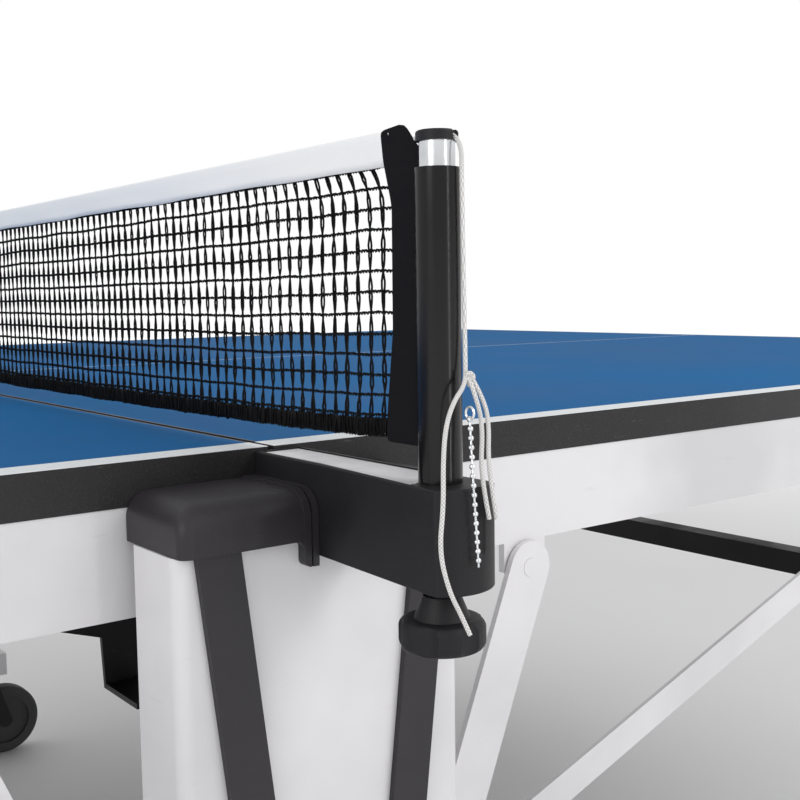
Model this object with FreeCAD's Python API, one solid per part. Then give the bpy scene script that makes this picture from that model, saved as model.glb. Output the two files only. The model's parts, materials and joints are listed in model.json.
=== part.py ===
import FreeCAD, Part
import math
import os

# Regulation table, millimetres. X runs along the table, Y across it, Z up from the floor.
# The origin is on the floor under the middle of the net.

# playing surface and its steel frame
TABLE_LENGTH = 2740.0
TABLE_WIDTH = 1525.0
TABLE_HEIGHT = 760.0
SEAM_GAP = 4.0
BOARD_THICKNESS = 23.0
BAND_THICKNESS = 1.5
RAIL_HEIGHT = 56.0
RAIL_WIDTH = 20.0
RAIL_INSET = 0.5
SHEET_STEEL = 1.5
STIFFENER_PLACES = (380.0, 1180.0)
STIFFENER_DEPTH = 9.0

# central trolley
COLUMN_HALF_WIDTH = 85.0
COLUMN_BACK = 773.0
COLUMN_FRONT = 817.0
COLUMN_WALL = 2.0
COLUMN_EDGE_RADIUS = 7.0
CAP_SEAT_GAP = 0.1
BASE_HALF_LENGTH = 340.0
BASE_BOTTOM = 150.0
BASE_HEIGHT = 40.0
BASE_WIDTH = 40.0
BASE_BEAM_PLACES = (-60.0, 60.0)

# links of the fold, in layers outward from the side of the boards
ARM_LAYER = (763.5, 767.5)
LINK_LAYER = (768.5, 771.5)
ARM_FOOT = (20.0, 250.0)
ARM_HEAD = (188.0, 664.0)
ARM_WIDTH = 34.0
ARM_TIE_RADIUS = 14.0
ARM_TIE_LIFT = 62.0
LINK_FOOT = (16.0, 444.0)
LINK_HEAD = (680.0, 664.0)
LINK_WIDTH = 22.0
PIN_RADIUS = 6.0
RUNNING_GAP = 0.06
ARM_PIN_PROUD = 0.3
OPEN_PIVOT_GAP = 0.4
LUG_THICKNESS = 5.0
LUG_OUTSIDE = 762.0
LUG_HALF_WIDTH = 18.0
LUG_BOSS_RADIUS = 14.0
LUG_DROP = 2.0

# outer legs
LEG_PIVOT = (1000.0, 702.0)
LEG_OUTSIDE = 738.0
LEG_THICKNESS = 25.0
LEG_WIDTH = 50.0
LEG_BOTTOM = 34.0
LEG_WALL = 2.0
LEG_FOOT_BLOCK = 30.0
LEG_HEAD_BLOCK = 40.0
LEG_PIN_REACH = 4.0
LEG_BAR_HEIGHT = 480.0
LEG_BAR_SIZE = 30.0
FOOT_RADIUS = 16.0
FOOT_HEIGHT = 14.0
FOOT_STEM_RADIUS = 6.0
FOOT_FLARE = 4.0
FOOT_STEM_REACH = 14.0
FOOT_BORE_DEPTH = 25.0

# safety lock beneath each inner end
LOCK_PIVOT = (75.0, 700.0)
LOCK_ROD_RADIUS = 6.0
HOOK_LAYER = (684.0, 687.0)
HOOK_LIP = 44.0
HOOK_LOW = 620.0
HOOK_OUTLINE = ((45, 620), (66.5, 620), (68, 650), (104, 662), (104, 671), (88, 708), (62, 708), (45, 671))

# castors
CASTOR_X = 300.0
CASTOR_Y = 793.0
CASTOR_TRAIL = 34.0
WHEEL_RADIUS = 62.5
WHEEL_WIDTH = 30.0
WHEEL_EDGE_RADIUS = 6.0
WHEEL_RECESS_RADIUS = 44.0
WHEEL_RECESS_DEPTH = 5.0
WHEEL_BOSS_RADIUS = 15.0
FORK_PLATE = (26.0, 19.0, 141.0, 149.5)
FORK_STEM = (145.0, 157.0)
FORK_CHEEK_THICKNESS = 3.0
FORK_CHEEK_GAP = 2.0
FORK_CHEEK_TOP = (20.0, 142.0)
FORK_EYE_RADIUS = 12.0

# net set
NET_HEIGHT = 152.5
POST_Y = 905.0
POST_RADIUS = 9.8
CORE_RADIUS = 7.8
TUBE_TOP = 893.0
CORE_TOP = 904.0
CAP_RADIUS = 9.2
CAP_THICKNESS = 4.5
CAP_ROUND = 1.2
TAPE_THICKNESS = 3.2
NET_THICKNESS = 1.6
SLEEVE_THICKNESS = 4.4
SLEEVE_DROP = 3.0
SOCKET_BOTTOM = 724.0
NET_END = 873.0
SLEEVE_END = 890.0
NET_BOTTOM = 771.0
TAPE_HEIGHT = 15.5
CORD_RADIUS = 1.0
BEAD_RADIUS = 1.3
BEAD_PITCH = 4.0
CHAIN_WIRE_RADIUS = 0.5
CHAIN_TOP = (0.4, -924.2, 787.0)
CHAIN_BEND = (-3.0, -930.2, 758.0)
CHAIN_END = (-0.8, -930.4, 725.0)
RING_RADIUS = 2.6
RING_WIRE_RADIUS = 0.6
CAP_SLOT_HALF = 2.0
CAP_SLOT_FLOOR = 1.2
CAP_SLOT_DROP = 4.5
SLOT_TURN = 21.0

# net arm and column cap
ARM_RIGHT = 18.0
ARM_LEFT_ROOT = 10.0
ARM_LEFT_NOSE = 16.0
ARM_CLEARANCE = 0.3
ARM_NOSE = 925.0
ARM_BOTTOM = 712.0
ARM_TOP = 758.0
INLAY_THICKNESS = 1.2
INLAY_LIP = 2.0
INLAY_SINK = 0.8
INLAY_STOP = 24.0
INLAY_FIT = 0.2
ARM_RIM_RADIUS = 1.0
NOSE_UPRIGHT_RADIUS = 2.5
NOSE_CORNER = 5.0
NOSE_GROOVE_RADIUS = 5.0
NOSE_GROOVE_PLACE = (4.0, -930.4)
NOSE_GROOVE_BOTTOM = 731.0
CAP_BOTTOM = 720.5
CAP_TOP = 745.0
CAP_INNER = 763.2
CAP_FRONT = 822.5
CAP_WALL = 7.0
CAP_EDGE_RADIUS = 13.0
CAP_CORNER_RADIUS = 6.0
RIB_WIDTH = 3.6
RIB_GROOVE = 1.0
RIB_RISE = 1.0
RIB_FOOT = 13.0
RIB_FOOT_ROUND = 3.5
COLUMN_TOP = CAP_BOTTOM - CAP_SEAT_GAP
STAY_FOOT = (14.0, 300.0)
STAY_HEAD = (64.0, CAP_BOTTOM)
STAY_WIDTH = 23.0
STAY_THICKNESS = 4.0
KNOB_RADIUS = 19.5
KNOB_BOTTOM = 684.0
KNOB_WHEEL_TOP = 698.0
KNOB_HUB_RADIUS = 8.5
KNOB_HUB_FLARE = 4.5
KNOB_HUB_TOP = 708.0
KNOB_LOBES = 6
KNOB_SCOOP_RADIUS = 9.0
KNOB_SCOOP_DEPTH = 2.2
KNOB_EDGE_RADIUS = 4.0
SCREW_RADIUS = 4.0

V = FreeCAD.Vector
X_AXIS = V(1, 0, 0)
Y_AXIS = V(0, 1, 0)
Z_AXIS = V(0, 0, 1)


def block(low, high):
    """A box between two corners given in any order."""
    a = [min(low[i], high[i]) for i in range(3)]
    b = [max(low[i], high[i]) for i in range(3)]
    return Part.makeBox(b[0] - a[0], b[1] - a[1], b[2] - a[2], V(*a))


def rod(start, axis, radius, length):
    """A round bar from start along axis."""
    return Part.makeCylinder(radius, length, V(*start), axis)


def across(x, z, radius, y_low, y_high):
    """A round bar across the table, between two distances from the centre line."""
    return rod((x, y_low, z), Y_AXIS, radius, y_high - y_low)


def join(shapes):
    """One clean solid from overlapping or touching ones."""
    return shapes[0].multiFuse(shapes[1:]).removeSplitter()


def far_side(shape):
    """The same piece on the other long side of the table."""
    return shape.mirror(V(0, 0, 0), Y_AXIS)


def half_b(shape):
    """The same piece on the other half of the table."""
    return shape.mirror(V(0, 0, 0), X_AXIS)


def save(name, shapes):
    """One node, from one solid or from a group of separate solids."""
    group = shapes if isinstance(shapes, list) else [shapes]
    solids = [solid for shape in group for solid in shape.Solids]
    whole = solids[0] if len(solids) == 1 else Part.makeCompound(solids)
    whole.exportStep("parts/" + name + ".step")


def flat_link(foot, head, width, y_low, y_high, holes):
    """A flat bar with round ends and one hole at each listed end."""
    radius = width / 2.0
    dx = head[0] - foot[0]
    dz = head[1] - foot[1]
    length = math.hypot(dx, dz)
    side = V(-dz / length * radius, 0, dx / length * radius)
    a = V(foot[0], y_low, foot[1])
    b = V(head[0], y_low, head[1])
    out = V(dx / length * radius, 0, dz / length * radius)
    edges = [
        Part.LineSegment(a + side, b + side).toShape(),
        Part.Arc(b + side, b + out, b - side).toShape(),
        Part.LineSegment(b - side, a - side).toShape(),
        Part.Arc(a - side, a - out, a + side).toShape(),
    ]
    bar = Part.Face(Part.Wire(edges)).extrude(V(0, y_high - y_low, 0))
    for (x, z), hole in zip((foot, head), holes):
        bar = bar.cut(across(x, z, hole, y_low - 1, y_high + 1))
    return bar


def tube_path(points, radius):
    """A cord along straight runs joined by tangent arcs; returns its solid and its arc radii."""
    pts = [V(*p) for p in points]
    edges = []
    radii = []
    last = pts[0]
    length = 0.0
    for i in range(1, len(pts) - 1):
        before = pts[i] - pts[i - 1]
        after = pts[i + 1] - pts[i]
        turn = before.getAngle(after)
        cut = 0.45 * min(before.Length, after.Length)
        bend = cut / math.tan(turn / 2.0)
        radii.append(bend)
        before.normalize()
        after.normalize()
        enter = pts[i] - before * cut
        leave = pts[i] + after * cut
        inward = after - before
        inward.normalize()
        middle = pts[i] + inward * (bend / math.cos(turn / 2.0) - bend)
        edges.append(Part.LineSegment(last, enter).toShape())
        edges.append(Part.Arc(enter, middle, leave).toShape())
        length += (enter - last).Length + bend * turn
        last = leave
    edges.append(Part.LineSegment(last, pts[-1]).toShape())
    length += (pts[-1] - last).Length
    path = Part.Wire(edges)
    section = Part.Wire([Part.Circle(pts[0], pts[1] - pts[0], radius).toShape()])
    solid = path.makePipeShell([section], True, True)
    share = solid.Volume / (math.pi * radius ** 2 * length)
    print("cord: length %.0f, radii %s, volume share %.3f" % (length, [round(r, 1) for r in radii], share))
    return solid


# ---------------------------------------------------------------- half tables

def board():
    """The playing board, inside its edge band."""
    low = SEAM_GAP / 2 + BAND_THICKNESS
    high = TABLE_LENGTH / 2 - BAND_THICKNESS
    side = TABLE_WIDTH / 2 - BAND_THICKNESS
    return block((low, -side, TABLE_HEIGHT - BOARD_THICKNESS), (high, side, TABLE_HEIGHT))


def edge_band():
    """The band round the four edges of a board."""
    low = SEAM_GAP / 2
    high = TABLE_LENGTH / 2
    side = TABLE_WIDTH / 2
    outer = block((low, -side, TABLE_HEIGHT - BOARD_THICKNESS), (high, side, TABLE_HEIGHT))
    return outer.cut(board())


def hollow_bar(low, high, along):
    """A rectangular steel tube with open ends."""
    walls = [0.0 if i == along else SHEET_STEEL for i in range(3)]
    inner_low = [low[i] + walls[i] - (1.0 if i == along else 0.0) for i in range(3)]
    inner_high = [high[i] - walls[i] + (1.0 if i == along else 0.0) for i in range(3)]
    return block(low, high).cut(block(inner_low, inner_high))


def lug(x, z, pin_end):
    """A plate welded below a side rail, with its pin."""
    top = TABLE_HEIGHT - BOARD_THICKNESS - RAIL_HEIGHT
    inside = LUG_OUTSIDE - LUG_THICKNESS
    plate = block((x - LUG_HALF_WIDTH, -LUG_OUTSIDE, z - LUG_DROP), (x + LUG_HALF_WIDTH, -inside, top))
    foot = across(x, z, LUG_BOSS_RADIUS, -LUG_OUTSIDE, -inside)
    pin = across(x, z, PIN_RADIUS, -pin_end, -inside)
    return join([plate, foot, pin])


def side_rail():
    """Near side rail of half a, with the lugs and pins that the links and the leg turn on."""
    top = TABLE_HEIGHT - BOARD_THICKNESS
    outside = TABLE_WIDTH / 2 - RAIL_INSET
    low = (SEAM_GAP / 2 + RAIL_INSET, -outside, top - RAIL_HEIGHT)
    high = (TABLE_LENGTH / 2 - RAIL_INSET - RAIL_WIDTH, -outside + RAIL_WIDTH, top)
    rail = hollow_bar(low, high, 0)
    inside = outside - RAIL_WIDTH
    leg_pin_end = -LEG_OUTSIDE + LEG_THICKNESS + LEG_PIN_REACH
    leg_pin = across(LEG_PIVOT[0], LEG_PIVOT[1], PIN_RADIUS, -inside - SHEET_STEEL, leg_pin_end)
    lock_hole = across(LOCK_PIVOT[0], LOCK_PIVOT[1], LOCK_ROD_RADIUS + RUNNING_GAP, -inside - 6, -inside + 2)
    head = lug(ARM_HEAD[0], ARM_HEAD[1], ARM_LAYER[1] + ARM_PIN_PROUD)
    stub = lug(LINK_HEAD[0], LINK_HEAD[1], LINK_LAYER[0] - OPEN_PIVOT_GAP)
    return join([rail, head, stub, leg_pin]).cut(lock_hole)


def end_rail():
    """Outer end rail of half a."""
    top = TABLE_HEIGHT - BOARD_THICKNESS
    outside = TABLE_WIDTH / 2 - RAIL_INSET
    high_x = TABLE_LENGTH / 2 - RAIL_INSET
    return hollow_bar((high_x - RAIL_WIDTH, -outside, top - RAIL_HEIGHT), (high_x, outside, top), 1)


def cross_rails():
    """Rails across half a: one at the seam and two stiffeners under the board."""
    top = TABLE_HEIGHT - BOARD_THICKNESS
    inside = TABLE_WIDTH / 2 - RAIL_INSET - RAIL_WIDTH
    seam_x = SEAM_GAP / 2 + RAIL_INSET
    rails = [hollow_bar((seam_x, -inside, top - RAIL_HEIGHT), (seam_x + RAIL_WIDTH, inside, top), 1)]
    for x in STIFFENER_PLACES:
        low = (x - RAIL_WIDTH, -inside, top - STIFFENER_DEPTH)
        rails.append(hollow_bar(low, (x + RAIL_WIDTH, inside, top), 1))
    return rails


def lock_bar():
    """Turning rod across the inner end of half a, with a black hook at each side."""
    x, z = LOCK_PIVOT
    inside = TABLE_WIDTH / 2 - RAIL_INSET - RAIL_WIDTH
    shaft = across(x, z, LOCK_ROD_RADIUS, -inside - SHEET_STEEL, inside + SHEET_STEEL)
    return join([shaft, lock_hook(), far_side(lock_hook())])


def lock_hook():
    """Bent sheet hook near the near side: an upright plate on the rod, with a lip along its foot."""
    pts = [V(px, -HOOK_LAYER[1], pz) for px, pz in HOOK_OUTLINE]
    plate = Part.Face(Part.makePolygon(pts + [pts[0]])).extrude(V(0, HOOK_LAYER[1] - HOOK_LAYER[0], 0))
    thickness = HOOK_LAYER[1] - HOOK_LAYER[0]
    lip = block((HOOK_OUTLINE[0][0], -HOOK_LAYER[0] - HOOK_LIP, HOOK_LOW),
                (HOOK_OUTLINE[1][0], -HOOK_LAYER[0], HOOK_LOW + thickness))
    return plate.fuse(lip)


# ---------------------------------------------------------------- links and legs

def fold_arms():
    """The two arms that carry half a, and the tube that ties them."""
    hole = PIN_RADIUS + RUNNING_GAP
    near = flat_link(ARM_FOOT, ARM_HEAD, ARM_WIDTH, -ARM_LAYER[1], -ARM_LAYER[0], (hole, hole))
    dx = ARM_HEAD[0] - ARM_FOOT[0]
    dz = ARM_HEAD[1] - ARM_FOOT[1]
    share = ARM_TIE_LIFT / math.hypot(dx, dz)
    x = ARM_FOOT[0] + dx * share
    z = ARM_FOOT[1] + dz * share
    tie = across(x, z, ARM_TIE_RADIUS, -ARM_LAYER[0], ARM_LAYER[0])
    tie = tie.cut(across(x, z, ARM_TIE_RADIUS - COLUMN_WALL, -ARM_LAYER[0] + 2, ARM_LAYER[0] - 2))
    return [near, far_side(near), tie]


def guide_links():
    """The two long thin links that guide half a."""
    hole = PIN_RADIUS + RUNNING_GAP
    near = flat_link(LINK_FOOT, LINK_HEAD, LINK_WIDTH, -LINK_LAYER[1], -LINK_LAYER[0], (hole, hole))
    return [near, far_side(near)]


def leg():
    """Near outer leg of half a, a tube that turns on the side rail's pin."""
    x, z = LEG_PIVOT
    inside = LEG_OUTSIDE - LEG_THICKNESS
    tube = block((x - LEG_WIDTH / 2, -LEG_OUTSIDE, LEG_BOTTOM), (x + LEG_WIDTH / 2, -inside, z))
    crown = across(x, z, LEG_WIDTH / 2, -LEG_OUTSIDE, -inside)
    half = LEG_WIDTH / 2 - LEG_WALL
    cavity = block((x - half, -LEG_OUTSIDE + LEG_WALL, LEG_BOTTOM + LEG_FOOT_BLOCK),
                   (x + half, -inside - LEG_WALL, z - LEG_HEAD_BLOCK))
    body = join([tube, crown]).cut(cavity)
    body = body.cut(across(x, z, PIN_RADIUS + RUNNING_GAP, -LEG_OUTSIDE - 1, -inside + 1))
    middle = (LEG_OUTSIDE + inside) / 2
    bore = rod((x, -middle, LEG_BOTTOM - 1), Z_AXIS, FOOT_STEM_RADIUS + RUNNING_GAP, FOOT_BORE_DEPTH + 1)
    return body.cut(bore)


def leg_bar():
    """The black bar that joins the two outer legs."""
    inside = LEG_OUTSIDE - LEG_THICKNESS
    half = LEG_BAR_SIZE / 2
    low = (LEG_PIVOT[0] - half, -inside, LEG_BAR_HEIGHT - half)
    high = (LEG_PIVOT[0] + half, inside, LEG_BAR_HEIGHT + half)
    return hollow_bar(low, high, 1)


def levelling_foot():
    """Screw foot of the near outer leg."""
    y = -(LEG_OUTSIDE - LEG_THICKNESS / 2)
    x = LEG_PIVOT[0]
    pad = Part.makeCone(FOOT_RADIUS, FOOT_RADIUS - FOOT_FLARE, FOOT_HEIGHT, V(x, y, 0), Z_AXIS)
    stem_length = LEG_BOTTOM + FOOT_STEM_REACH - FOOT_HEIGHT
    stem = rod((x, y, FOOT_HEIGHT - 1), Z_AXIS, FOOT_STEM_RADIUS, stem_length)
    return join([pad, stem])


# ---------------------------------------------------------------- trolley

def column():
    """Near column: a wide box tube with rounded front corners and a notch for the net arm."""
    w = COLUMN_HALF_WIDTH
    base = BASE_BOTTOM + BASE_HEIGHT
    outer = block((-w, -COLUMN_FRONT, base), (w, -COLUMN_BACK, COLUMN_TOP))
    corners = [e for e in outer.Edges if is_front_corner(e)]
    outer = outer.makeFillet(COLUMN_EDGE_RADIUS, corners)
    t = COLUMN_WALL
    inner = block((-w + t, -COLUMN_FRONT + t, base - 1), (w - t, -COLUMN_BACK - t, COLUMN_TOP + 1))
    inner_corners = [e for e in inner.Edges if is_front_corner(e)]
    notch = block((-ARM_LEFT_ROOT - ARM_CLEARANCE, -COLUMN_FRONT - 1, ARM_BOTTOM - ARM_CLEARANCE),
                  (ARM_RIGHT + ARM_CLEARANCE, -COLUMN_BACK + 1, COLUMN_TOP + 1))
    return outer.cut(inner.makeFillet(COLUMN_EDGE_RADIUS - t, inner_corners)).cut(notch)


def is_front_corner(edge):
    """True for an upright edge on the side away from the boards."""
    ends = [v.Point for v in edge.Vertexes]
    upright = abs(ends[0].z - ends[1].z) > 100
    return upright and ends[0].y < -(COLUMN_FRONT + COLUMN_BACK) / 2


def column_cap():
    """Near column's moulded cap: two rounded halves, one on each side of the net arm."""
    left = cap_half(ARM_LEFT_ROOT + ARM_CLEARANCE)
    right = half_b(cap_half(ARM_RIGHT + ARM_CLEARANCE))
    return [left, right]


def cap_half(inner_x):
    """Left half of the cap, hollow below, with a double rim that starts inner_x from the middle."""
    outer_x = COLUMN_HALF_WIDTH - 1.0
    body = block((-outer_x, -CAP_FRONT, CAP_BOTTOM), (-inner_x, -CAP_INNER, CAP_TOP))
    upright = [e for e in body.Edges if is_cap_corner(e, outer_x)]
    body = body.makeFillet(CAP_CORNER_RADIUS, upright)
    top = [e for e in body.Edges if is_cap_top(e, outer_x)]
    body = body.makeFillet(CAP_EDGE_RADIUS, top)
    front = CAP_FRONT + RIB_RISE
    foot = CAP_BOTTOM - RIB_FOOT
    second = inner_x + RIB_WIDTH + RIB_GROOVE
    rim_side = second + RIB_WIDTH
    for start in (inner_x, second):
        rib = block((-start - RIB_WIDTH, -front, foot), (-start, -CAP_INNER, CAP_TOP + RIB_RISE))
        body = body.fuse(rib.makeFillet(CAP_EDGE_RADIUS, [e for e in rib.Edges if is_rib_edge(e, front)]))
    web = block((-second, -CAP_FRONT, foot), (-inner_x - RIB_WIDTH, -CAP_INNER, CAP_BOTTOM + 1))
    r = RIB_FOOT_ROUND
    depth = front - CAP_INNER
    hollow_corner = block((-rim_side - r, -CAP_FRONT, CAP_BOTTOM - r), (-rim_side, -CAP_INNER, CAP_BOTTOM))
    hollow_corner = hollow_corner.cut(rod((-rim_side - r, -front, CAP_BOTTOM - r), Y_AXIS, r, depth))
    sharp_corner = block((-rim_side - 1, -front - 1, foot - 1), (-rim_side + r, -CAP_INNER, foot + r))
    sharp_corner = sharp_corner.cut(rod((-rim_side + r, -front - 1, foot + r), Y_AXIS, r, depth + 1))
    below = block((-outer_x - 2, -COLUMN_FRONT - CAP_SEAT_GAP, foot - 1),
                  (-inner_x + 1, -CAP_INNER + 1, CAP_BOTTOM))
    cavity = block((-outer_x + CAP_WALL, -CAP_FRONT + CAP_WALL, CAP_BOTTOM - 1),
                   (-rim_side - 1, -CAP_INNER - CAP_WALL, CAP_TOP - CAP_WALL))
    return join([body, web, hollow_corner]).cut(sharp_corner).cut(below).cut(cavity)


def is_cap_corner(edge, outer_x):
    """The cap's upright front corner."""
    ends = [v.Point for v in edge.Vertexes]
    return all(abs(p.y + CAP_FRONT) < 0.01 and abs(p.x + outer_x) < 0.01 for p in ends)


def is_cap_top(edge, outer_x):
    """The cap's top edges at its front and at its outer side, and the corner between them."""
    ends = [v.Point for v in edge.Vertexes]
    if not all(abs(p.z - CAP_TOP) < 0.01 for p in ends):
        return False
    middle = edge.CenterOfMass
    return middle.y < -CAP_FRONT + CAP_CORNER_RADIUS or middle.x < -outer_x + CAP_CORNER_RADIUS


def is_rib_edge(edge, front):
    """The rib's top front edge."""
    ends = [v.Point for v in edge.Vertexes]
    return all(abs(p.y + front) < 0.01 and abs(p.z - CAP_TOP - RIB_RISE) < 0.01 for p in ends)


def arm_outline(inset, nose, z):
    """Corners of the net arm's long sides, from the boards to the nose, moved in by inset."""
    left_root = -ARM_LEFT_ROOT + inset
    return [
        V(left_root, -CAP_INNER - inset, z),
        V(left_root, -CAP_FRONT, z),
        V(-ARM_LEFT_NOSE + inset, -nose, z),
        V(ARM_RIGHT - inset, -nose, z),
        V(ARM_RIGHT - inset, -CAP_INNER - inset, z),
    ]


def net_arm():
    """Near net arm: a housing with a rounded nose, a socket for the post and a recess for its inlay."""
    back, bend, left, right, back_right = arm_outline(0.0, ARM_NOSE - NOSE_CORNER, ARM_BOTTOM)
    tip = V(3, -ARM_NOSE - 2, ARM_BOTTOM)
    edges = [
        Part.LineSegment(back, bend).toShape(),
        Part.LineSegment(bend, left).toShape(),
        Part.Arc(left, tip, right).toShape(),
        Part.LineSegment(right, back_right).toShape(),
        Part.LineSegment(back_right, back).toShape(),
    ]
    body = Part.Face(Part.Wire(edges)).extrude(V(0, 0, ARM_TOP - ARM_BOTTOM))
    upright = [e for e in body.Edges if is_nose_corner(e)]
    body = body.makeFillet(NOSE_UPRIGHT_RADIUS, upright)
    body = body.makeFillet(ARM_RIM_RADIUS, [e for e in body.Edges if is_arm_rim(e)])
    inlay_floor = ARM_TOP - INLAY_THICKNESS - INLAY_SINK
    recess = inlay_plan(INLAY_LIP, inlay_floor).extrude(V(0, 0, ARM_TOP))
    gx, gy = NOSE_GROOVE_PLACE
    groove = rod((gx, gy, NOSE_GROOVE_BOTTOM), Z_AXIS, NOSE_GROOVE_RADIUS, ARM_TOP)
    groove = groove.fuse(Part.makeSphere(NOSE_GROOVE_RADIUS, V(gx, gy, NOSE_GROOVE_BOTTOM)))
    socket = rod((0, -POST_Y, SOCKET_BOTTOM), Z_AXIS, POST_RADIUS, ARM_TOP)
    screw_way = rod((0, -POST_Y, ARM_BOTTOM - 1), Z_AXIS, SCREW_RADIUS + RUNNING_GAP, 40)
    return body.cut(recess).cut(groove).cut(socket).cut(screw_way)


def inlay_plan(inset, z):
    """The inlay's outline, a face that follows the arm's sides."""
    corners = arm_outline(inset, ARM_NOSE - INLAY_STOP, z)
    return Part.Face(Part.makePolygon(corners + [corners[0]]))


def is_nose_corner(edge):
    """Upright edges at the nose of the net arm."""
    ends = [v.Point for v in edge.Vertexes]
    return abs(ends[0].z - ends[1].z) > 10 and ends[0].y < -ARM_NOSE + 12


def is_arm_rim(edge):
    """Top and bottom edges round the net arm, apart from those against the boards."""
    middle = edge.CenterOfMass
    level = abs(middle.z - ARM_TOP) < 0.01 or abs(middle.z - ARM_BOTTOM) < 0.01
    return level and middle.y < -CAP_INNER - 1


def arm_inlay():
    """The pale plate let into the top of the near net arm."""
    floor = ARM_TOP - INLAY_THICKNESS - INLAY_SINK
    plate = inlay_plan(INLAY_LIP + INLAY_FIT, floor).extrude(V(0, 0, INLAY_THICKNESS))
    return plate.cut(rod((0, -POST_Y, floor - 1), Z_AXIS, POST_RADIUS + 1, INLAY_THICKNESS + 2))


def stay_bars():
    """The two black flat bars in front of the near column, from under its cap towards each other."""
    dx = STAY_HEAD[0] - STAY_FOOT[0]
    dz = STAY_HEAD[1] - STAY_FOOT[1]
    share = 1.0 + STAY_WIDTH / math.hypot(dx, dz)
    above = (STAY_FOOT[0] + dx * share, STAY_FOOT[1] + dz * share)
    back = -COLUMN_FRONT
    front = back - STAY_THICKNESS
    bar = flat_link(STAY_FOOT, above, STAY_WIDTH, front, back, (3.0, 3.0))
    bar = bar.cut(block((0, front - 1, CAP_BOTTOM), (COLUMN_HALF_WIDTH * 2, back + 1, CAP_TOP + STAY_WIDTH)))
    return [bar, half_b(bar)]


def base_rail():
    """Near base rail, with a hole at each end for a castor's stem."""
    y_low = -COLUMN_BACK - BASE_WIDTH
    rail = hollow_bar((-BASE_HALF_LENGTH, y_low, BASE_BOTTOM),
                      (BASE_HALF_LENGTH, y_low + BASE_WIDTH, BASE_BOTTOM + BASE_HEIGHT), 0)
    for x in (-CASTOR_X, CASTOR_X):
        rail = rail.cut(rod((x, -CASTOR_Y, BASE_BOTTOM - 1), Z_AXIS, PIN_RADIUS + RUNNING_GAP, 4))
    return rail


def base_beams():
    """The two beams that join the base rails across the table."""
    beams = []
    for x in BASE_BEAM_PLACES:
        low = (x - BASE_WIDTH / 2, -COLUMN_BACK, BASE_BOTTOM)
        beams.append(hollow_bar(low, (x + BASE_WIDTH / 2, COLUMN_BACK, BASE_BOTTOM + BASE_HEIGHT), 1))
    return beams


def pivot_pins():
    """The pins on the columns that the arms and the guide links turn on."""
    pins = []
    for x, z in (ARM_FOOT, LINK_FOOT):
        inner = ARM_LAYER[0] if (x, z) == ARM_FOOT else LINK_LAYER[0]
        pin = across(x, z, PIN_RADIUS, -COLUMN_BACK, -inner)
        pins += [pin, half_b(pin), far_side(pin), far_side(half_b(pin))]
    return pins


def post_tube():
    """Near post's fixed outer tube."""
    tube = rod((0, -POST_Y, SOCKET_BOTTOM), Z_AXIS, POST_RADIUS, TUBE_TOP - SOCKET_BOTTOM)
    return tube.cut(rod((0, -POST_Y, SOCKET_BOTTOM - 1), Z_AXIS, CORE_RADIUS + RUNNING_GAP, TUBE_TOP))


def clamp_knob():
    """Star knob with its screw, under the near net arm."""
    y = -POST_Y
    wheel = rod((0, y, KNOB_BOTTOM), Z_AXIS, KNOB_RADIUS, KNOB_WHEEL_TOP - KNOB_BOTTOM)
    top_edges = [e for e in wheel.Edges if isinstance(e.Curve, Part.Circle)]
    wheel = wheel.makeFillet(KNOB_EDGE_RADIUS, top_edges)
    for i in range(KNOB_LOBES):
        angle = 2 * math.pi * (i + 0.5) / KNOB_LOBES
        reach = KNOB_RADIUS + KNOB_SCOOP_RADIUS - KNOB_SCOOP_DEPTH
        cx = reach * math.cos(angle)
        cy = y + reach * math.sin(angle)
        wheel = wheel.cut(rod((cx, cy, KNOB_BOTTOM - 1), Z_AXIS, KNOB_SCOOP_RADIUS, 30))
    hub = Part.makeCone(KNOB_HUB_RADIUS + KNOB_HUB_FLARE, KNOB_HUB_RADIUS, KNOB_HUB_TOP - KNOB_WHEEL_TOP + 1,
                        V(0, y, KNOB_WHEEL_TOP - 1), Z_AXIS)
    screw = rod((0, y, KNOB_HUB_TOP - 1), Z_AXIS, SCREW_RADIUS, SOCKET_BOTTOM - KNOB_HUB_TOP)
    return join([wheel, hub, screw])


def castor_fork(x, side):
    """Swivelling fork of one castor, with its axle; side is -1 near, +1 far."""
    y = side * CASTOR_Y
    half_length, half_width, plate_bottom, plate_top = FORK_PLATE
    plate = block((x - half_length, y - half_width, plate_bottom),
                  (x + half_length, y + half_width, plate_top))
    stem = rod((x, y, FORK_STEM[0]), Z_AXIS, PIN_RADIUS, FORK_STEM[1] - FORK_STEM[0])
    wheel_x = x + math.copysign(CASTOR_TRAIL, x)
    pieces = [plate, stem]
    gap = WHEEL_WIDTH / 2 + FORK_CHEEK_GAP
    half_top, cheek_top = FORK_CHEEK_TOP
    for s in (-1, 1):
        y0 = y + s * gap
        y1 = y0 + s * FORK_CHEEK_THICKNESS
        outline = [(x - half_top, cheek_top), (x + half_top, cheek_top),
                   (wheel_x + FORK_EYE_RADIUS, WHEEL_RADIUS), (wheel_x - FORK_EYE_RADIUS, WHEEL_RADIUS)]
        pts = [V(px, min(y0, y1), pz) for px, pz in outline]
        cheek = Part.Face(Part.makePolygon(pts + [pts[0]])).extrude(V(0, FORK_CHEEK_THICKNESS, 0))
        pieces.append(cheek)
        pieces.append(across(wheel_x, WHEEL_RADIUS, FORK_EYE_RADIUS, min(y0, y1), max(y0, y1)))
    axle_reach = gap + FORK_CHEEK_THICKNESS
    pieces.append(across(wheel_x, WHEEL_RADIUS, PIN_RADIUS, y - axle_reach, y + axle_reach))
    return join(pieces)


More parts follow.
